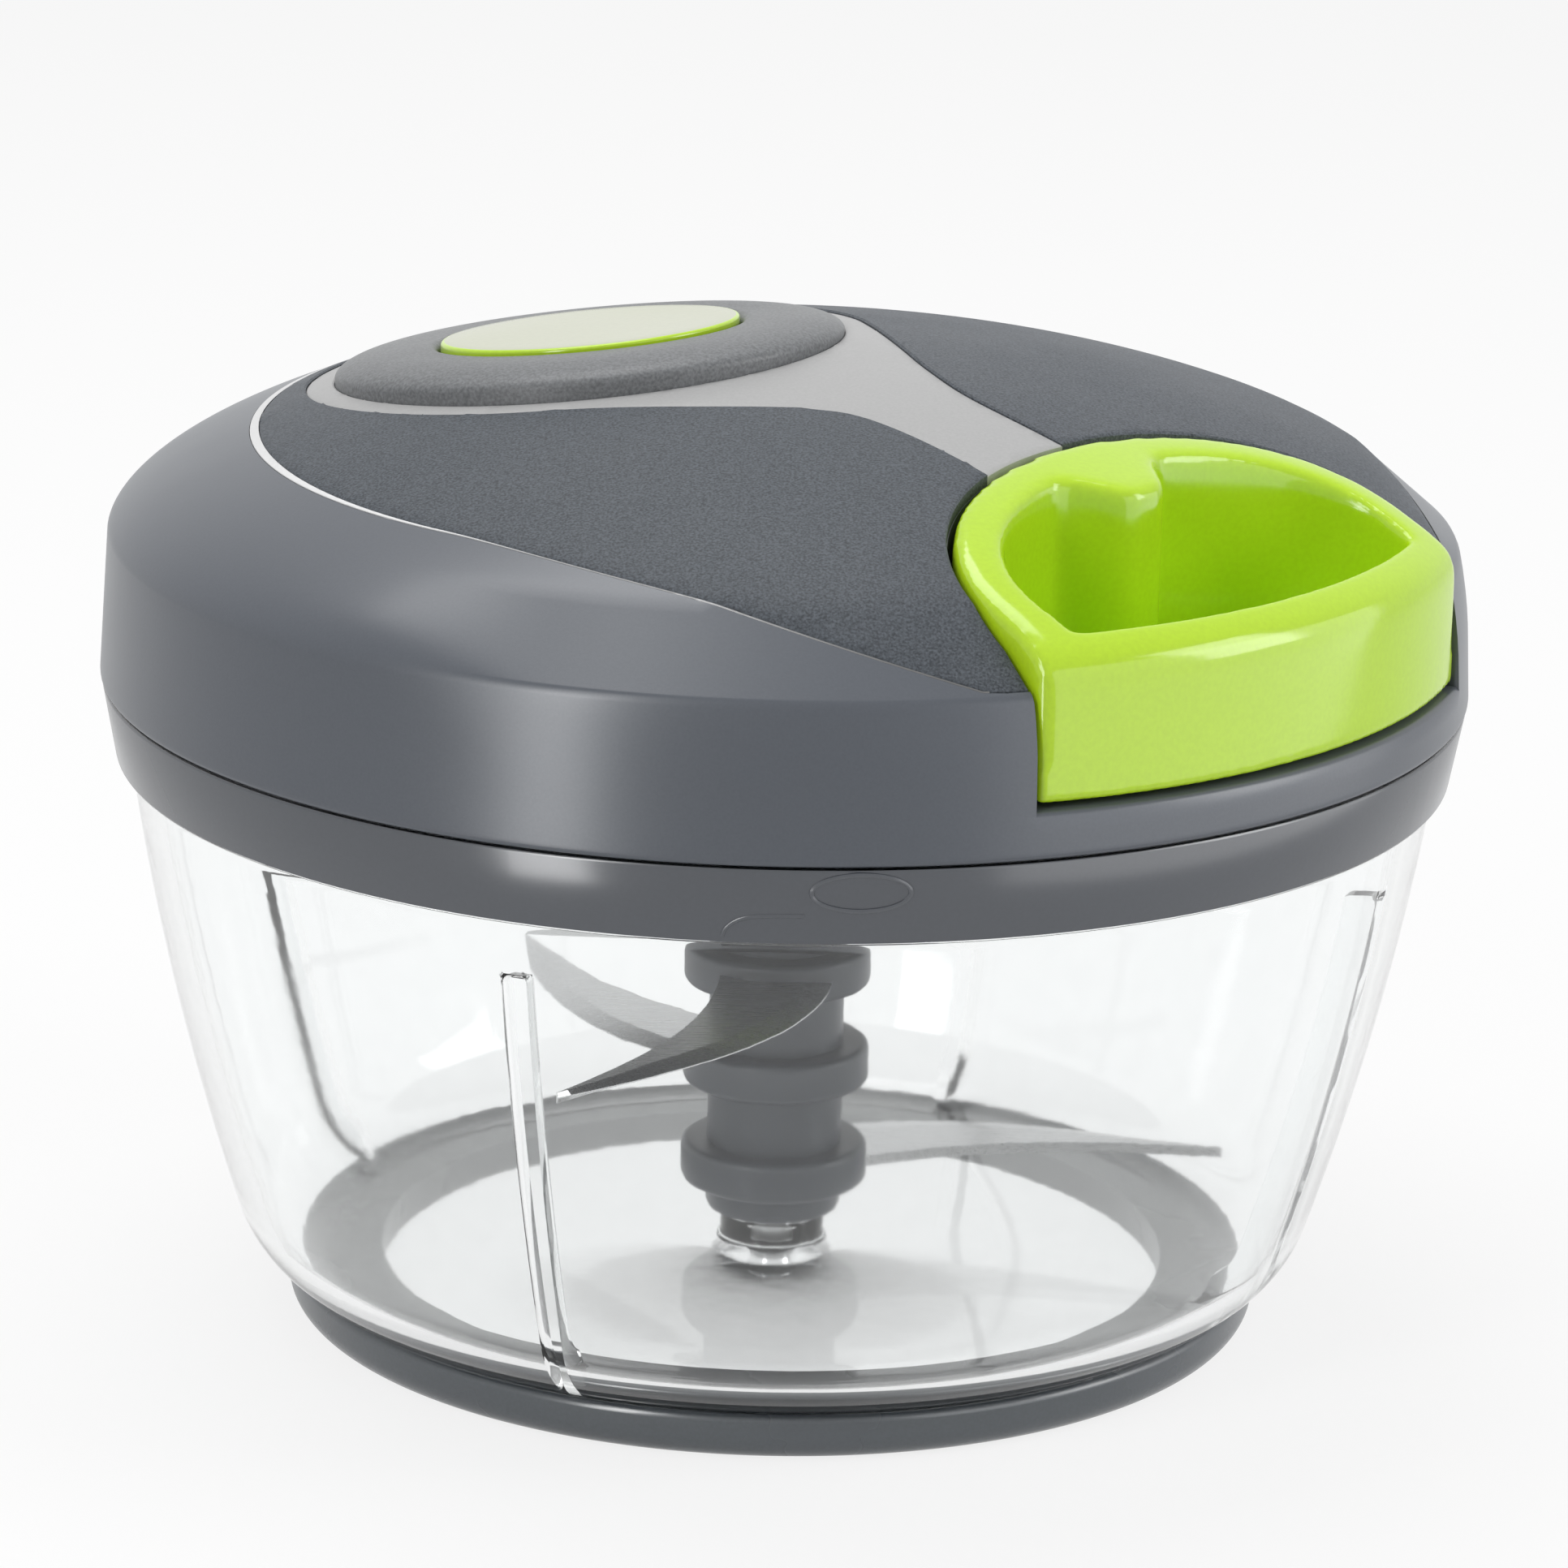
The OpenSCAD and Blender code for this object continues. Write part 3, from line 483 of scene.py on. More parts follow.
# Low ridges moulded on the front of the collar: an oval, and the edge of a shallow tab.
# The oval starts as a ring of one millimetre and is stretched over the collar's face.
ridge_r = 0.28
ridge_in = 0.13
collar_face = (55.3, 62.0)


def collar_skin(turn, height, out=0.0):
    """A point of the collar's outside at an angle and a height, lifted by out."""
    a = math.radians(turn)
    rise = (height - collar_face[0]) / (collar_face[1] - collar_face[0])
    radius = collar_r + rise * (rim_r - collar_r) - ridge_in + out
    return Vector((radius * math.cos(a), radius * math.sin(a), height))


mark_turn = -83.6
mark_size = (4.4, 1.75)
mark_z = 60.2
mark = bmesh.new()
bmesh.ops.create_circle(mark, segments=8, radius=ridge_r * mm,
                        matrix=Matrix.Translation((mm, 0, 0)) @ Matrix.Rotation(math.pi / 2, 4, "X"))
bmesh.ops.spin(mark, geom=mark.verts[:] + mark.edges[:], cent=(0, 0, 0), axis=(0, 0, 1),
               angle=2 * math.pi, steps=48, use_merge=True)
bmesh.ops.remove_doubles(mark, verts=mark.verts, dist=0.002 * mm)
for v in mark.verts:
    reach = math.hypot(v.co.x, v.co.y)
    part = v.co.xy / reach
    across = part.x * (mark_size[0] + reach / mm - 1)
    up = mark_z + part.y * (mark_size[1] + reach / mm - 1)
    v.co = collar_skin(mark_turn + math.degrees(across / rim_r), up, v.co.z / mm) * mm
bmesh.ops.recalc_face_normals(mark, faces=mark.faces)
bowl_shape = cut(bowl_shape, mark, "UNION")
tab_line = [(-94.4, 55.9), (-94.1, 56.7), (-93.3, 57.4), (-92.2, 57.8), (-90.5, 57.95), (-88.0, 58.0)]
tab_edge = tube([collar_skin(turn, height) for turn, height in smooth_line(tab_line)], ridge_r * 0.8)
bowl_shape = cut(bowl_shape, tab_edge, "UNION")
band_z = (55.25, 62.35)
band_r = 63.0
band_grey = moulded("band_grey", (0.07, 0.077, 0.09), 0.2, 0.4, 0.002, 0.02, 0.02, shine=0.7)
bowl_shape.normal_update()
for face in bowl_shape.faces:
    spot = face.calc_center_median() / mm
    outward = face.normal.x * spot.x + face.normal.y * spot.y
    in_band = band_z[0] < spot.z < band_z[1] and math.hypot(spot.x, spot.y) > band_r
    face.material_index = 1 if in_band and outward > 0 else 0
piece("bowl_clear", bowl_shape, [clear_plastic, band_grey], "bowl", "clear_bowl", "bowl", crease=38)


# Blades
# Three swept steel blades at three heights, ground to an edge along the front.
# Their roots are held in the collars of the stem.
blade_t = 1.0
blade_root_w = 11.0
blade_sweep = 12.0
blade_grow = 3.0
blade_reach = 43.0
blade_longer = 1.5
blade_first_z = 14.0
blade_step_z = 10.0
blade_first_turn = 20
blade_step_turn = 120
blade_root_in = 1.5
blade_tip_s = 0.992
ground_w = 2.6
ground_share = 0.55
edge_share = 0.12
stem_r = 6.5
scratch_scale = (260, 9000, 9000)


def brushed_steel(name, roughness):
    """Ground stainless steel, with fine scratches that all run one way."""
    material, nodes, links, shader = new_finish(name)
    shader.inputs["Metallic"].default_value = 1.0
    place = nodes.new("ShaderNodeTexCoord")
    stretch = nodes.new("ShaderNodeMapping")
    stretch.inputs["Scale"].default_value = scratch_scale
    scratch = nodes.new("ShaderNodeTexNoise")
    scratch.inputs["Scale"].default_value = 1.0
    scratch.inputs["Detail"].default_value = 2
    gloss = nodes.new("ShaderNodeMapRange")
    gloss.inputs["To Min"].default_value = roughness - 0.1
    gloss.inputs["To Max"].default_value = roughness + 0.12
    tone = nodes.new("ShaderNodeMix")
    tone.data_type = "RGBA"
    tone.inputs[6].default_value = (0.57, 0.575, 0.58, 1)
    tone.inputs[7].default_value = (0.68, 0.68, 0.68, 1)
    relief = nodes.new("ShaderNodeBump")
    relief.inputs["Strength"].default_value = 0.1
    relief.inputs["Distance"].default_value = 0.01 * mm
    links.new(place.outputs["Object"], stretch.inputs["Vector"])
    links.new(stretch.outputs["Vector"], scratch.inputs["Vector"])
    links.new(scratch.outputs["Fac"], gloss.inputs["Value"])
    links.new(gloss.outputs["Result"], shader.inputs["Roughness"])
    links.new(scratch.outputs["Fac"], tone.inputs["Factor"])
    links.new(tone.outputs[2], shader.inputs["Base Color"])
    links.new(scratch.outputs["Fac"], relief.inputs["Height"])
    links.new(relief.outputs["Normal"], shader.inputs["Normal"])
    return material


def blade_edges(s, reach):
    """Front edge, ground line and back edge of a blade at share s of its reach."""
    bow = blade_grow * math.sin(math.pi * s)
    front = blade_root_w / 2 + bow - (blade_root_w / 2 + blade_sweep) * s * s
    back = -blade_root_w / 2 + bow - (blade_sweep - blade_root_w / 2) * s * s
    ground = front - min(ground_w, (front - back) * ground_share)
    return [(reach * s, front), (reach * s, ground), (reach * s, back)]


def blade_shape(reach, height, turn):
    """A flat blade with its front ground thin on both faces."""
    steps = 40
    root_s = (stem_r - blade_root_in) / reach
    shares = [root_s + (blade_tip_s - root_s) * i / steps for i in range(steps + 1)]
    shape = bmesh.new()
    rows = [[shape.verts.new((x * mm, y * mm, blade_t / 2 * mm)) for x, y in line]
            for line in zip(*[blade_edges(s, reach) for s in shares])]
    chains = [[shape.edges.new(pair) for pair in zip(row, row[1:])] for row in rows]
    for near, far in zip(chains, chains[1:]):
        bmesh.ops.bridge_loops(shape, edges=near + far)
    front = {(round(v.co.x, 7), round(v.co.y, 7)) for v in rows[0]}
    lower = bmesh.ops.extrude_face_region(shape, geom=shape.faces[:])
    moved = [v for v in lower["geom"] if isinstance(v, bmesh.types.BMVert)]
    bmesh.ops.translate(shape, verts=moved, vec=(0, 0, -blade_t * mm))
    for v in shape.verts:
        if (round(v.co.x, 7), round(v.co.y, 7)) in front:
            v.co.z *= edge_share
    bmesh.ops.rotate(shape, verts=shape.verts, cent=(0, 0, 0),
                     matrix=Matrix.Rotation(math.radians(turn), 3, "Z"))
    bmesh.ops.translate(shape, verts=shape.verts, vec=(0, 0, height * mm))
    bmesh.ops.recalc_face_normals(shape, faces=shape.faces)
    return shape


blade_steel = brushed_steel("blade_steel", 0.28)
for k, level in enumerate(("lower", "middle", "upper")):
    ground_blade = blade_shape(blade_reach + blade_longer * k, blade_first_z + blade_step_z * k,
                               blade_first_turn + blade_step_turn * k)
    piece("ground_blade_" + level, ground_blade, [blade_steel], "blades", "steel", "blade_" + level,
          crease=8)


# Blade stem
# A grey moulded post with a round collar over each blade's root and a square end that
# the drive hub turns. It runs on the steel pin in the bowl's floor.
stem_z = 9.0
stem_drive_z = 44.5
stem_top_z = 57.5
drive_w = 7.6
stem_bore = (2.05, 25.0)
stem_collar = (9.0, 4.0)
stem_round = 0.7
stem_low_edge = (0.8, 0.25)
stem_high_edge = (1.0, 0.3)
drive_foot_r = drive_w * 0.75
drive_round = 0.5


def stem_collar_line(height):
    """Outline of one collar, rounded above and below."""
    low = height - stem_collar[1] / 2
    high = height + stem_collar[1] / 2
    edge = stem_collar[0] - stem_round
    return ([(stem_r, low)] + arc((edge, low + stem_round), stem_round, -90, 0, 5)
            + arc((edge, high - stem_round), stem_round, 0, 90, 5) + [(stem_r, high)])


drive_low_z = stem_drive_z - stem_high_edge[0]
stem_profile = [
    (0, stem_bore[1]),
    (stem_bore[0], stem_bore[1]),
    (stem_bore[0], stem_z),
    (stem_r - stem_low_edge[0], stem_z),
    (stem_r - stem_low_edge[1], stem_z + stem_low_edge[1]),
    (stem_r, stem_z + stem_low_edge[0]),
]
for k in range(3):
    stem_profile += stem_collar_line(blade_first_z + blade_step_z * k)
stem_profile += [
    (stem_r, drive_low_z),
    (stem_r - stem_high_edge[1], stem_drive_z - stem_high_edge[1]),
    (drive_foot_r, stem_drive_z),
    (0, stem_drive_z),
]
drive_end = bmesh.new()
bmesh.ops.create_cube(drive_end, size=1.0)
bmesh.ops.scale(drive_end, verts=drive_end.verts,
                vec=(drive_w * mm, drive_w * mm, (stem_top_z - drive_low_z) * mm))
bmesh.ops.translate(drive_end, verts=drive_end.verts, vec=(0, 0, (stem_top_z + drive_low_z) / 2 * mm))
bmesh.ops.bevel(drive_end, geom=drive_end.edges[:], offset=drive_round * mm, offset_type="OFFSET",
                affect="EDGES", segments=3, profile=0.5, material=-1)
stem_shape = cut(turned(stem_profile, 96), drive_end, "UNION")
inner_grey = moulded("inner_grey", (0.085, 0.093, 0.107), 0.36, 0.4, 0.004)
piece("stem_moulded", stem_shape, [inner_grey], "blades", "grey_plastic", "blade_stem")


# Lid base
# The dark plate that closes the lid from below, with the skirt that fits inside the
# bowl's collar and the bearing boss round the drive hub.
skirt_r = 61.9
skirt_z = 56.0
skirt_wall = 2.2
plate_z = 60.5
plate_top_z = 63.0
plate_edge = 0.3
bearing_r = 15.0
bearing_z = 46.0
bearing_round = 2.6
bearing_fillet = 3.0
skirt_in_r = skirt_r - skirt_wall
skirt_fillet = 1.2
skirt_edge = 0.4
bush_r = 9.25
bush_edge = 0.5
seal_low_z = 57.35
seal_high_z = 59.15
seal_in_r = 60.8
base_profile = (
    [(bush_r, plate_top_z), (bush_r, bearing_z + bush_edge), (bush_r + bush_edge, bearing_z)]
    + arc((bearing_r - bearing_round, bearing_z + bearing_round), bearing_round, -90, 0, 8)
    + arc((bearing_r + bearing_fillet, plate_z - bearing_fillet), bearing_fillet, 180, 90, 8)
    + arc((skirt_in_r - skirt_fillet, plate_z - skirt_fillet), skirt_fillet, 90, 0, 5)
    + [(skirt_in_r, skirt_z + skirt_edge), (skirt_in_r + skirt_edge, skirt_z)]
    + [(skirt_r - skirt_edge, skirt_z), (skirt_r, skirt_z + skirt_edge)]
    + [(skirt_r, seal_low_z), (seal_in_r, seal_low_z), (seal_in_r, seal_high_z), (skirt_r, seal_high_z)]
    + [(skirt_r, plate_top_z - plate_edge), (skirt_r - plate_edge, plate_top_z)]
)
base_dark = moulded("base_dark", (0.045, 0.05, 0.058), 0.3, 0.4, 0.004)
piece("lid_base_plate", turned(base_profile), [base_dark], "lid", "grey_plastic", "lid_base")


# Lid cover
# The dark grey shell of the lid, satin moulded: an upright side, a dome, and a pocket
# with a narrow ledge where the handle docks. Beside the pocket the shoulder is creased.
lid_r = 65.0
lid_lean = 0.7
seam_z = rim_z + 0.08
seam_edge = 0.5
side_z = seam_z + 0.8
shoulder_r = 64.3
shoulder_z = 76.4
above_z = 110
below_z = 60
outside_u = 70
dome_h = 17.9
dome_out = 1.088
dome_up = 1.227
dome_steps = 60
cover_wall = 2.4
pull_az = -42
pocket_mid = 52.0
pocket_back = 18.5
pocket_half_w = 29.0
pocket_round = 2.2
mouth_half_w = 30.0
ledge_z = 66.9
pocket_wall = 2.0
cord_z = 75.5
guide_hole_r = 3.02
crease_turn = (68, 86)
crease_start_z = 69.0
crease_in = 0.8


def dome_point(turn, off=0.0):
    """A point of the dome's line, from the shoulder at 0 to the apex at 90 degrees."""
    a = math.radians(turn)
    radius = (shoulder_r + off) * max(0.0, math.cos(a)) ** dome_out
    return (radius, shoulder_z + (dome_h + off) * math.sin(a) ** dome_up)


def dome_z(radius):
    """Height of the dome's skin over a radius."""
    flat = min(1.0, radius / shoulder_r) ** (1 / dome_out)
    return shoulder_z + dome_h * (1 - flat * flat) ** (dome_up / 2)


crease_low = dome_point(4.5)
crease_high = dome_point(29)


def crease_share(x, y):
    """How far the crease is formed over a plan point: full beside the pocket, none at the back."""
    turn = (math.degrees(math.atan2(y, x)) - pull_az + 180) % 360 - 180
    return 1 - eased(*crease_turn, abs(turn))


def creased(radius, height, share):
    """Where a point of the plain skin goes: the side leans in, and the top runs flat above it."""
    if height <= crease_start_z or radius <= crease_high[0]:
        return radius, height
    if height <= crease_low[1]:
        lean = (height - crease_start_z) / (crease_low[1] - crease_start_z)
        return radius - share * crease_in * lean * lean, height
    along = (radius - crease_high[0]) / (crease_low[0] - crease_high[0])
    flat = crease_high[1] + along * (crease_low[1] - crease_high[1])
    return radius - share * crease_in * along, height + share * (flat - height)


def skin_z(x, y):
    """Height of the lid's creased skin over a plan point."""
    radius = math.hypot(x, y)
    if radius > crease_high[0]:
        share = crease_share(x, y)
        moved = share * crease_in / (crease_low[0] - crease_high[0])
        plain_r = (radius - moved * crease_high[0]) / (1 - moved)
        return creased(plain_r, dome_z(plain_r), share)[1]
    return dome_z(radius)


def round_back(depth, half_w, steps=96):
    """The rounded back of the pocket, in the pull frame."""
    line = []
    for i in range(steps + 1):
        a = math.radians(-90 + 180 * i / steps)
        along = pocket_mid - depth * math.cos(a) ** (2 / pocket_round)
        across = half_w * math.copysign(abs(math.sin(a)) ** (2 / pocket_round), a)
        line.append((along, across))
    return line


def pocket_outline(gap, mouth):
    """The pocket's plan outline in the pull frame, shrunk by gap, with the given mouth points."""
    low_side = [(u, -(v - gap)) for u, v in reversed(mouth)]
    high_side = [(u, v - gap) for u, v in mouth]
    return low_side + round_back(pocket_back - gap, pocket_half_w - gap) + high_side


plain_mouth = [(57.2, mouth_half_w), (outside_u, mouth_half_w)]
rounded_mouth = [(56.4, 29.85), (56.95, 30.05), (57.4, 30.4), (57.75, 30.85), (58.0, 31.4)]
rounded_mouth += [(outside_u, 31.6)]
cover_outline = (
    [(0, seam_z), (lid_r - seam_edge, seam_z)]
    + arc((lid_r - seam_edge, seam_z + seam_edge), seam_edge, -70, 0, 5)
    + [(lid_r - lid_lean * i / 8, side_z + (shoulder_z - side_z) * i / 8) for i in range(8)]
    + [dome_point(90 * i / dome_steps) for i in range(dome_steps)]
    + [(0, shoulder_z + dome_h)]
)
cover_shape = turned(cover_outline)
for v in cover_shape.verts:
    plain_r = math.hypot(v.co.x, v.co.y) / mm
    if plain_r > crease_high[0]:
        skin_r, height = creased(plain_r, v.co.z / mm, crease_share(v.co.x, v.co.y))
        v.co = Vector((v.co.x * skin_r / plain_r, v.co.y * skin_r / plain_r, height * mm))

hollow_outline = (
    [(0, seam_z - 2), (lid_r - cover_wall, seam_z - 2), (shoulder_r - cover_wall, shoulder_z)]
    + [dome_point(90 * i / 24, -cover_wall) for i in range(1, 24)]
    + [(0, shoulder_z + dome_h - cover_wall)]
)
wall_outline = pocket_outline(-pocket_wall, plain_mouth)
wall_block = prism(wall_outline, ledge_z - pocket_wall, above_z, pull_az)
cover_hollow = cut(turned(hollow_outline, 96), wall_block)
cover_shape = cut(cover_shape, cover_hollow)
mouth_outline = pocket_outline(0, rounded_mouth)
cover_shape = cut(cover_shape, prism(mouth_outline, ledge_z, above_z, pull_az))
ledge_edge = [(64.2, 0.4), (67, 0.4), (67, -1.0), (65.2, -1.0)]
ledge_edge += [(64.85, -0.45), (64.55, -0.12), (64.2, 0.02)]
ledge_round = turned([(r, ledge_z + up) for r, up in ledge_edge])
ledge_round = cut(ledge_round, prism(mouth_outline, ledge_z - 4, above_z, pull_az), "INTERSECT")
cover_shape = cut(cover_shape, ledge_round)


def rod(radius, start, end, sides=32):
    """A round rod between two points in millimetres."""
    shape = bmesh.new()
    length = (Vector(end) - Vector(start)).length
    bmesh.ops.create_cone(shape, cap_ends=True, segments=sides, radius1=radius * mm,
                          radius2=radius * mm, depth=length * mm)
    face = (Vector(end) - Vector(start)).to_track_quat("Z", "Y").to_matrix()
    bmesh.ops.rotate(shape, verts=shape.verts, cent=(0, 0, 0), matrix=face)
    bmesh.ops.translate(shape, verts=shape.verts, vec=(Vector(start) + Vector(end)) / 2 * mm)
    return shape


def pulled(u, v, z):
    """A point of the pull frame in the lid's own frame."""
    a = math.radians(pull_az)
    return (u * math.cos(a) - v * math.sin(a), u * math.sin(a) + v * math.cos(a), z)


pocket_u = pocket_mid - pocket_back
guide_hole = rod(guide_hole_r, pulled(pocket_u - 4, 0, cord_z), pulled(pocket_u + 1, 0, cord_z))
cover_shape = cut(cover_shape, guide_hole)

panel_r = 51
panel_flare = 13
panel_flare_turn = (29, 84)
panel_flare_power = 1.6
panel_limit_r = 63.0
trim_w = 0.9
trim_thin = 0.14
trim_thin_turn = (70, 135)


def panel_outline(inset, inside_trim=False):
    """The recess's edge, flared out at the handle, or the edge inside its trim."""
    line = []
    for turn in range(-180, 180, 2):
        near = max(abs(turn), panel_flare_turn[0])
        past = (near - panel_flare_turn[0]) / (panel_flare_turn[1] - panel_flare_turn[0])
        flare = panel_flare * max(0.0, 1 - past) ** panel_flare_power
        radius = min(panel_limit_r, panel_r + flare) - inset
        if inside_trim:
            radius -= trim_thin + (trim_w - trim_thin) * eased(*trim_thin_turn, near)
        a = math.radians(turn + pull_az)
        line.append((radius * math.cos(a), radius * math.sin(a)))
    return line


def draped(flat, low, high, rim=0.0, drop=0.0, pitch=2.0):
    """Lays the top of a flat shape on the lid as a plate, its upper edge eased by rim and drop."""
    bmesh.ops.delete(flat, geom=[f for f in flat.faces if f.normal.z < 0.5], context="FACES")
    if rim:
        bmesh.ops.inset_region(flat, faces=flat.faces[:], thickness=rim * mm, use_boundary=True,
                               use_even_offset=True)
    last = math.ceil(lid_r / pitch) + 1
    for axis in (Vector((1, 0, 0)), Vector((0, 1, 0))):
        for k in range(-last, last + 1):
            bmesh.ops.bisect_plane(flat, geom=flat.verts[:] + flat.edges[:] + flat.faces[:], dist=1e-7,
                                   plane_co=axis * k * pitch * mm, plane_no=axis)
    edge = flat.verts.layers.int.new("edge")
    for e in flat.edges:
        if e.is_boundary:
            for v in e.verts:
                v[edge] = 1
    raised = bmesh.ops.extrude_face_region(flat, geom=flat.faces[:])
    top = {v for v in raised["geom"] if isinstance(v, bmesh.types.BMVert)}
    for v in flat.verts:
        lift = low
        if v in top:
            lift = high - drop * v[edge]
        v.co.z = (skin_z(v.co.x / mm, v.co.y / mm) + lift) * mm
    bmesh.ops.recalc_face_normals(flat, faces=flat.faces)
    return flat


inlay_depth = 1.0
inlay_clear = 4
flat_z = (0, 1)
inlay = draped(prism(panel_outline(0), *flat_z), -inlay_depth, inlay_clear)
cover_shape = cut(cover_shape, inlay)
satin_grey = moulded("satin_grey", (0.082, 0.092, 0.110), 0.31, 0.25, 0.003, 0.04, 0.02)
piece("cover_shell", cover_shape, [satin_grey], "lid", "grey_plastic", "lid_cover", crease=40)


# Top panel, trim and strip
# A grained panel with a bright line round it and a pale strip that rings the crown and
# runs as a neck to the handle. All three are let into the dome and end at the pocket.
join_gap = 0.06
cutter_z = (-1, 3)
crown = (-19.3, 9.0)
crown_r = 24.3
strip_r = 27.0
strip_arc = (12, 265)
neck_front = [(-9, -19.5), (2, -20.1), (8, -22.5), (18, -32), (26, -41)]
neck_back = [(36, -33), (25, -22.4), (17, -13.6), (13, -6), (10.4, 2)]


def strip_outline(grow):
    """The strip's plan outline: an arc round the crown that runs over into the neck."""
    ring = arc(crown, strip_r + grow, *strip_arc, 100)
    return ring[:-1] + smooth_line([ring[-1]] + neck_front) + smooth_line(neck_back + [ring[0]])[:-1]


pocket_cut = pocket_outline(-join_gap, plain_mouth)
panel_flat = prism(panel_outline(join_gap, True), *flat_z)
panel_flat = cut(panel_flat, prism(strip_outline(join_gap), *cutter_z))
panel_flat = cut(panel_flat, prism(pocket_cut, *cutter_z, pull_az))
panel_grain = moulded("panel_grain", (0.074, 0.083, 0.095), 0.5, 0.24, 0.03, 0.42, shine=0.16)
piece("panel_grained", draped(panel_flat, -inlay_depth, 0.1, rim=0.22, drop=0.16), [panel_grain],
      "lid", "grained_panel", "top_panel")

trim_end_gap = 3.5
# Painted light on the trim: the silver keeps its full tone at the left end as a painted highlight, and is
# painted darker towards the handle as painted shade
trim_painted_shade_x = (-46, -4)
trim_painted_shade_tone = (1.0, 0.22)
trim_flat = prism(panel_outline(join_gap), *flat_z)
trim_flat = cut(trim_flat, prism(panel_outline(0, True), *cutter_z))
trim_flat = cut(trim_flat, prism(pocket_outline(-trim_end_gap, plain_mouth), *cutter_z, pull_az))
trim_silver = brushed_steel("trim_silver", 0.45)
trim_nodes = trim_silver.node_tree.nodes
trim_links = trim_silver.node_tree.links
# The painted shade of the trim: the silver's colour is scaled by a ramp over the object's x, from full at
# the left end down towards the handle
trim_axes = trim_nodes.new("ShaderNodeSeparateXYZ")
trim_painted_shade = trim_nodes.new("ShaderNodeMapRange")
trim_painted_shade.inputs["From Min"].default_value = trim_painted_shade_x[0] * mm
trim_painted_shade.inputs["From Max"].default_value = trim_painted_shade_x[1] * mm
trim_painted_shade.inputs["To Min"].default_value = trim_painted_shade_tone[0]
trim_painted_shade.inputs["To Max"].default_value = trim_painted_shade_tone[1]
trim_painted_colour = trim_nodes.new("ShaderNodeVectorMath")
trim_painted_colour.operation = "SCALE"
trim_links.new(trim_nodes["Texture Coordinate"].outputs["Object"], trim_axes.inputs[0])
trim_links.new(trim_axes.outputs["X"], trim_painted_shade.inputs["Value"])
trim_links.new(trim_nodes["Mix"].outputs[2], trim_painted_colour.inputs[0])
trim_links.new(trim_painted_shade.outputs["Result"], trim_painted_colour.inputs["Scale"])
trim_links.new(trim_painted_colour.outputs[0], trim_nodes["Principled BSDF"].inputs["Base Color"])
piece("trim_line", draped(trim_flat, -inlay_depth, 0.06, rim=0.04, drop=0.04), [trim_silver],
      "lid", "bright_trim", "panel_trim")

ring_disc = arc(crown, crown_r + 0.05, 0, 357.5, 143)
strip_flat = cut(prism(strip_outline(0), *flat_z), prism(ring_disc, *cutter_z))
strip_flat = cut(strip_flat, prism(panel_outline(join_gap, True), *cutter_z), "INTERSECT")
strip_flat = cut(strip_flat, prism(pocket_cut, *cutter_z, pull_az))
strip_pale = moulded("strip_pale", (0.38, 0.38, 0.38), 0.42, 0.3, 0.003, shine=0.3)
piece("strip_inlay", draped(strip_flat, -inlay_depth, -0.12, rim=0.2, drop=0.12), [strip_pale],
      "lid", "pale_plastic", "accent_strip")


# Crown ring and cap
# A raised grained ring on the top, off the axis and leaning with the dome, with a glossy
# green cap pressed into it. The cap's face is paler than its edge.
cap_r = 14.3
cap_gap = 0.05
cap_edge = 0.35
cap_face_in = 0.45
ring_gap = 0.08
ring_flat_r = 16.4
ring_in_round = 1.0
crown_lean = (math.tan(math.radians(6.7)), -math.tan(math.radians(5.5)))
crown_rise = 0.4
crown_fall = 2.1
crown_edge_w = 6.5
cap_top = 0.8
under = -10.0


def crowned(outline):
    """A ring or disc turned about the crown and leaned with it, its underside let into the dome."""
    shape = turned(outline, 144)
    middle_z = dome_z(math.hypot(*crown)) * mm
    for v in shape.verts:
        height = middle_z + v.co.x * crown_lean[0] + v.co.y * crown_lean[1] + v.co.z
        sunk = v.co.z <= under * mm / 2
        v.co.x += crown[0] * mm
        v.co.y += crown[1] * mm
        v.co.z = height
        if sunk:
            v.co.z = (skin_z(v.co.x / mm, v.co.y / mm) - inlay_depth) * mm
    return shape


ring_round = [(crown_r - crown_edge_w * (1 - math.cos(math.radians(a))),
               crown_rise - crown_fall * (1 - math.sin(math.radians(a)))) for a in range(0, 91, 6)]
ring_profile = (
    [(cap_r + ring_gap, under), (crown_r - 0.02, under)] + ring_round + [(ring_flat_r, crown_rise)]
    + arc((cap_r + ring_in_round + 0.1, crown_rise - ring_in_round), ring_in_round, 80, 175, 6)
)
crown_grain = moulded("crown_grain", (0.15, 0.156, 0.162), 0.44, 0.3, 0.026, 0.25, shine=0.35)
piece("crown_ring_grained", crowned(ring_profile), [crown_grain], "lid", "grained_panel", "crown_ring")

cap_profile = (
    [(0, under), (cap_r - cap_gap, under)]
    + arc((cap_r - cap_gap - cap_edge, cap_top - cap_edge), cap_edge, 0, 90, 5)
    + [(r, cap_top) for r in (12, 9, 6, 3, 0)]
)
cap_shape = crowned(cap_profile)
cap_shape.normal_update()
for face in cap_shape.faces:
    centre = face.calc_center_median() / mm
    inside = math.hypot(centre.x - crown[0], centre.y - crown[1]) < cap_r - cap_face_in
    face.material_index = 1 if inside and face.normal.z > 0.5 else 0
lime = moulded("lime_gloss", (0.46, 0.70, 0.015), 0.13, 0.5, 0.002, 0.03, 0.03)
cap_face = moulded("cap_face", (0.43, 0.455, 0.30), 0.16, 0.5, 0.002, 0.02, 0.03)
piece("crown_cap_gloss", cap_shape, [lime, cap_face], "lid", "pale_green_plastic", "crown_cap")


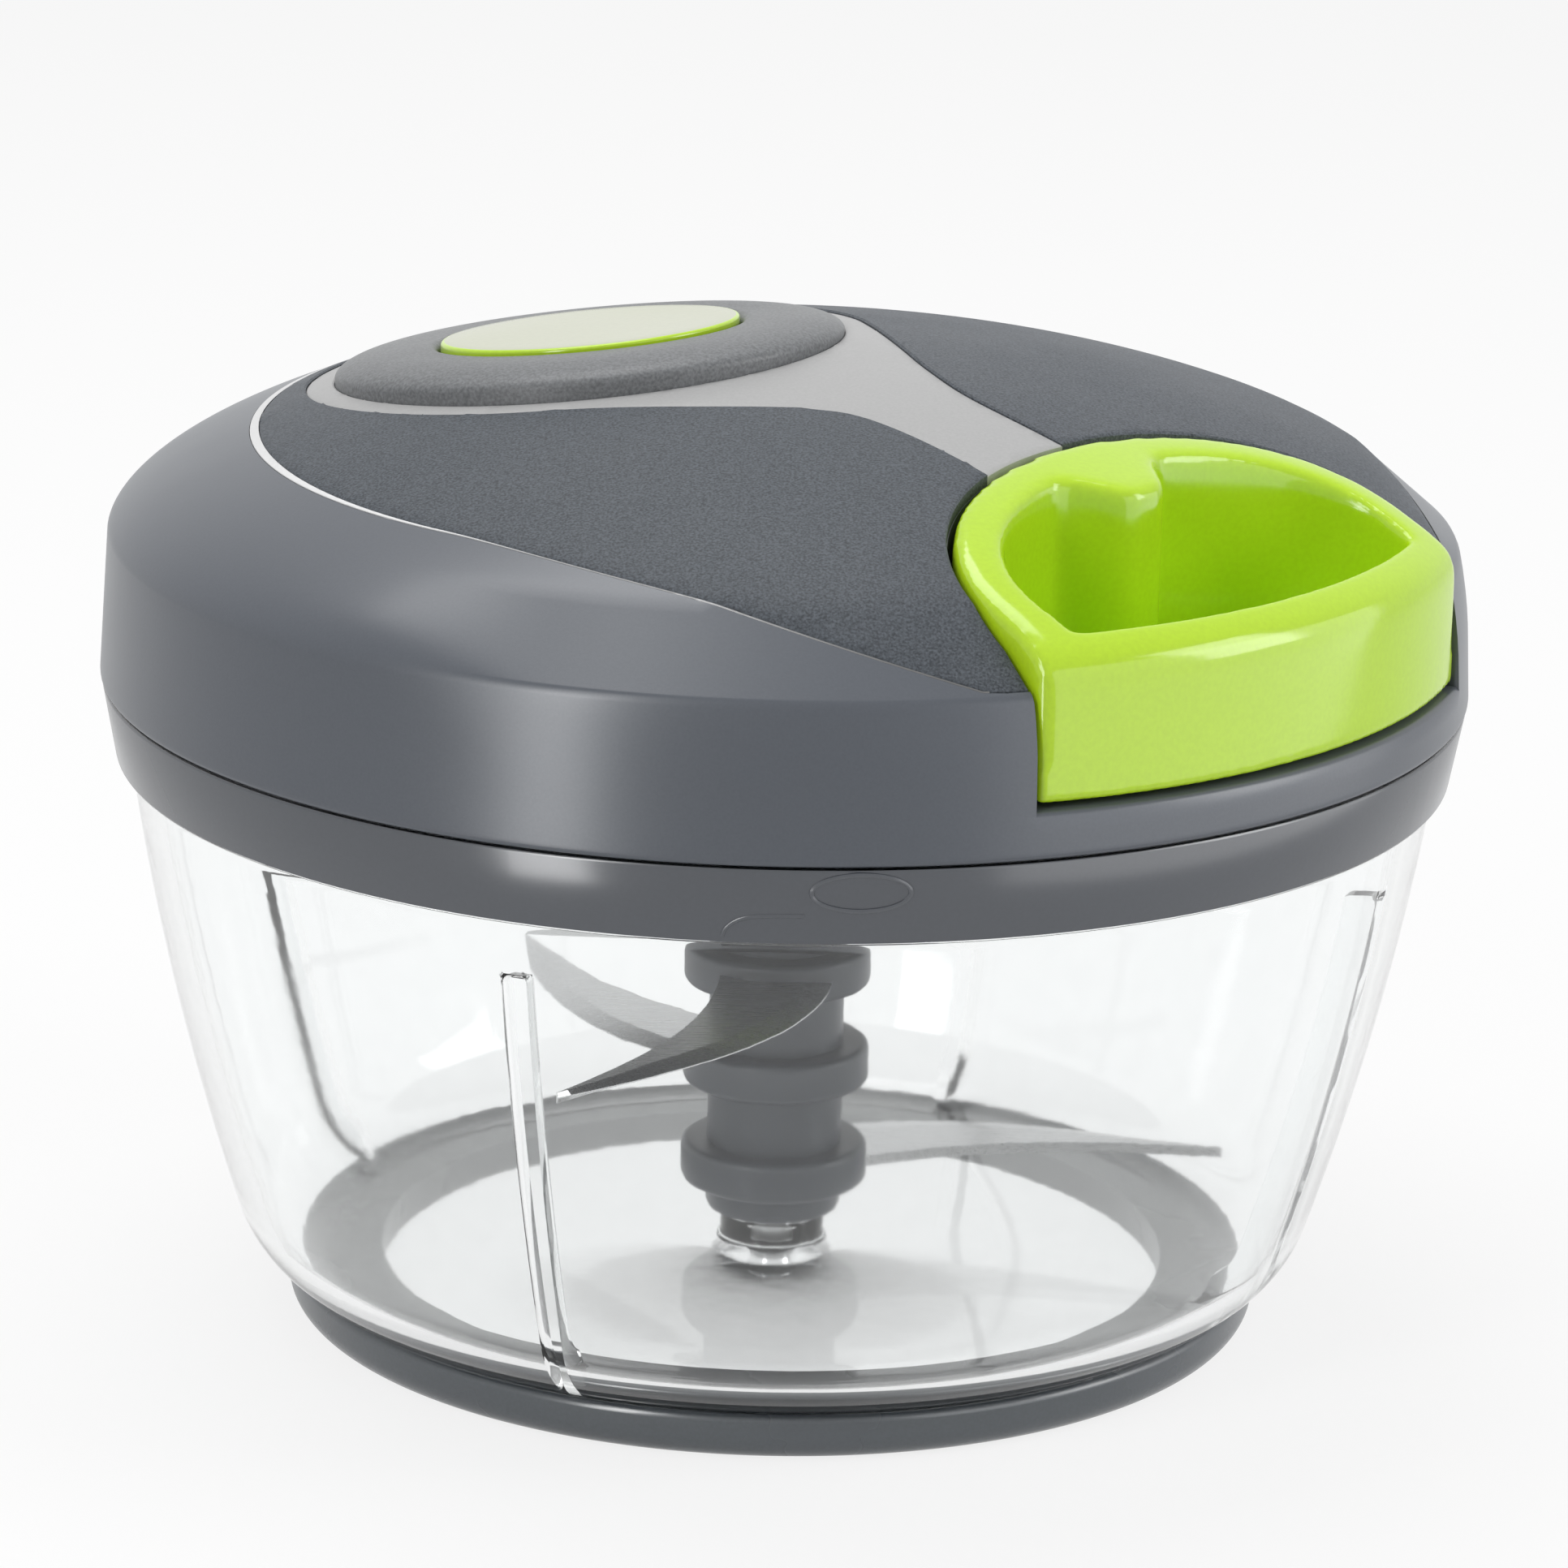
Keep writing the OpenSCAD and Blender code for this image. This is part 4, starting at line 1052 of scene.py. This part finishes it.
# Pull handle
# A glossy lime handle with a finger recess round the cord boss, its rim well rounded.
# The cord comes in through the back and is knotted inside the boss.
handle_gap = 0.45
handle_z = ledge_z + 0.5
handle_r = 64.2
handle_swell = 2.2
handle_wall = 4.6
handle_front_wall = 3.8
handle_lip = 1.6
recess_z = handle_z + 3.0
cord_boss_half_w = 7.5
cord_boss_depth = 5.5
boss_face_half_w = 1.5
cord_bore_r = 1.4
knot_u = pocket_u + 6.5
knot_r = 2.3
knot_room = 0.3

swell = (shoulder_r + handle_swell) / shoulder_r
lip_low = Vector((handle_r, dome_z(handle_r / swell) - handle_lip))
lip_corner = Vector((handle_r, dome_z(handle_r / swell)))
lip_in = Vector((handle_r - handle_lip, dome_z((handle_r - handle_lip) / swell)))
lip_shares = [i / 8 for i in range(9)]
lip = [tuple((1 - t) ** 2 * lip_low + 2 * t * (1 - t) * lip_corner + t * t * lip_in) for t in lip_shares]
handle_top = [(r * swell, z) for r, z in [dome_point(90 * i / 40) for i in range(40)]]
handle_top = [p for p in handle_top if p[0] < lip_in.x - 0.3]
handle_outline = [(0, handle_z), (handle_r, handle_z)] + lip + handle_top + [(0, shoulder_z + dome_h)]
handle_block = prism(pocket_outline(handle_gap, plain_mouth), handle_z - 5, above_z, pull_az)
handle_shape = cut(handle_block, turned(handle_outline), "INTERSECT")

recess_half_w = pocket_half_w - handle_gap - handle_wall
recess_back = pocket_back - handle_gap - handle_wall


def boss_share(v):
    """Share of the cord boss's depth at a distance from its middle."""
    return 1 - eased(boss_face_half_w, cord_boss_half_w, abs(v))


recess_line = [(u + cord_boss_depth * boss_share(v), v)
               for u, v in round_back(recess_back, recess_half_w, 120)]
recess_outline = [(outside_u, -recess_half_w)] + recess_line + [(outside_u, recess_half_w)]
recess = prism(recess_outline, recess_z, above_z, pull_az)
front_r = handle_r - handle_front_wall
front_limit = turned([(0, below_z), (front_r, below_z), (front_r, above_z + 2), (0, above_z + 2)])
recess = cut(recess, front_limit, "INTERSECT")
handle_shape = cut(handle_shape, recess)
cord_bore = rod(cord_bore_r, pulled(pocket_u - 1, 0, cord_z), pulled(knot_u, 0, cord_z))
handle_shape = cut(handle_shape, cord_bore)
knot_top = cord_z + knot_r + knot_room
knot_hole = rod(knot_r + knot_room, pulled(knot_u, 0, handle_z - 2), pulled(knot_u, 0, knot_top))
handle_shape = cut(handle_shape, knot_hole)


def softened(shape, voxel, first, later, soft_from):
    """Rounds all edges a little, and those above a height more, on an even skin of small faces."""
    spare = spare_object(shape)
    remesh = spare.modifiers.new("skin", "REMESH")
    remesh.mode = "VOXEL"
    remesh.voxel_size = voxel * mm
    result = read_back(spare)
    drop_spare(spare)
    for i in range(first + later):
        chosen = result.verts[:]
        if i >= first:
            chosen = [v for v in result.verts if v.co.z > soft_from * mm]
        bmesh.ops.smooth_vert(result, verts=chosen, factor=0.5,
                              use_axis_x=True, use_axis_y=True, use_axis_z=True)
    return result


handle_soft = softened(handle_shape, voxel=0.34, first=4, later=30, soft_from=70.5)
piece("handle_lime", handle_soft, [lime], "handle", "green_plastic", "pull_handle", crease=60)


# Cord
# Braided nylon, two millimetres thick: wound on the reel, led through the guide in the
# pocket's wall and knotted in the handle. It pays out behind the handle.
cord_d = 2.0
cord_route = [(33, 0), (29.5, 0), (27, -2), (19.5, -8.9)]
drum_r = 18.0
winding_turns = 3.0


def braided(name):
    """Nylon braid: two crossing sets of strands along the pull direction."""
    material, nodes, links, shader = new_finish(name)
    shader.inputs["Roughness"].default_value = 0.7
    shader.inputs["Sheen Weight"].default_value = 0.3
    place = nodes.new("ShaderNodeTexCoord")
    turn = nodes.new("ShaderNodeMapping")
    turn.vector_type = "TEXTURE"
    turn.inputs["Rotation"].default_value = (0, 0, math.radians(pull_az))
    links.new(place.outputs["Object"], turn.inputs["Vector"])
    strands = []
    for lean in (1, -1):
        slant = nodes.new("ShaderNodeMapping")
        slant.inputs["Rotation"].default_value = (0, lean * math.radians(40), lean * math.radians(40))
        wave = nodes.new("ShaderNodeTexWave")
        wave.inputs["Scale"].default_value = 330
        wave.inputs["Distortion"].default_value = 0.6
        links.new(turn.outputs["Vector"], slant.inputs["Vector"])
        links.new(slant.outputs["Vector"], wave.inputs["Vector"])
        strands.append(wave)
    over = nodes.new("ShaderNodeMath")
    over.operation = "MAXIMUM"
    links.new(strands[0].outputs["Fac"], over.inputs[0])
    links.new(strands[1].outputs["Fac"], over.inputs[1])
    tone = nodes.new("ShaderNodeMix")
    tone.data_type = "RGBA"
    tone.inputs[6].default_value = (0.5, 0.5, 0.48, 1)
    tone.inputs[7].default_value = (0.84, 0.84, 0.82, 1)
    relief = nodes.new("ShaderNodeBump")
    relief.inputs["Strength"].default_value = 0.8
    relief.inputs["Distance"].default_value = 0.12 * mm
    links.new(over.outputs[0], tone.inputs["Factor"])
    links.new(tone.outputs[2], shader.inputs["Base Color"])
    links.new(over.outputs[0], relief.inputs["Height"])
    links.new(relief.outputs["Normal"], shader.inputs["Normal"])
    return material


nylon = braided("cord_nylon")
cord_end_u = knot_u - knot_r + 0.4
pay_out_u = 33.0
pay_out_steps = 60
pay_out_step = (cord_end_u - pay_out_u) / pay_out_steps
straight = [(pay_out_u + pay_out_step * i, 0) for i in range(pay_out_steps, 0, -1)]
inside_run = smooth_line(cord_route, 10)
cord_points = [pulled(u, v, cord_z) for u, v in straight + inside_run]
cord_mesh = bpy.data.meshes.new("cord_braid")
cord_shape = tube(cord_points, cord_d / 2)
cord_shape.to_mesh(cord_mesh)
cord_shape.free()
cord_mesh.shade_smooth()
cord_mesh.materials.append(nylon)
cord = bpy.data.objects.new("cord_braid", cord_mesh)
scene.collection.objects.link(cord)
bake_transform(cord)
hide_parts("pull_cord")

wound = bmesh.new()
wound_steps = 180
wound_start = Vector((drum_r + cord_d / 2, 0, cord_z - winding_turns * cord_d / 2)) * mm
wound_face = Matrix.Translation(wound_start) @ Matrix.Rotation(math.pi / 2, 4, "X")
bmesh.ops.create_circle(wound, cap_ends=True, segments=12, radius=(cord_d / 2 - 0.02) * mm,
                        matrix=wound_face)
bmesh.ops.spin(wound, geom=wound.verts[:] + wound.edges[:] + wound.faces[:], cent=(0, 0, 0),
               axis=(0, 0, 1), angle=2 * math.pi * winding_turns, steps=wound_steps,
               dvec=(0, 0, winding_turns * cord_d / wound_steps * mm))
bmesh.ops.recalc_face_normals(wound, faces=wound.faces)
piece("cord_winding", wound, [nylon], "reel", "cord", "wound_cord", crease=60)

knot_steps = 90
knot_size = 0.42
knot_height = 0.5
knot_cord_r = 0.9
knot_line = []
for i in range(knot_steps):
    a = 2 * math.pi * i / knot_steps
    loop_x = knot_size * (math.sin(a) + 2 * math.sin(2 * a))
    loop_y = knot_size * (math.cos(a) - 2 * math.cos(2 * a))
    knot_line.append((loop_x, loop_y, -knot_height * math.sin(3 * a)))
knot_points = [Vector(pulled(knot_u, 0, cord_z)) + Vector(p) for p in knot_line + knot_line[:2]]
piece("cord_knot_tied", tube(knot_points, knot_cord_r), [nylon], "handle", "cord", "cord_knot", crease=60)


# Inner pieces
# The seal, bush, hub, reel, spring and their fasteners, made as the drawing has them and
# finished in acetal, silicone, lime plastic and steel.
acetal = moulded("acetal", (0.72, 0.72, 0.70), 0.4, 0.4, 0.004)
silicone = moulded("silicone", (0.045, 0.05, 0.058), 0.4, 0.5, 0.004)
plain_steel = brushed_steel("plain_steel", 0.3)
inner_finish = {
    "pivot_pin": plain_steel,
    "seal_ring": silicone,
    "hub_bush": acetal,
    "lid_screws": plain_steel,
    "drive_hub": lime,
    "cord_reel": acetal,
    "return_spring": plain_steel,
    "spring_cover": acetal,
    "spindle": plain_steel,
    "cord_guide": acetal,
}
for node, finish in inner_finish.items():
    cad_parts[node].material_slots[0].material = finish
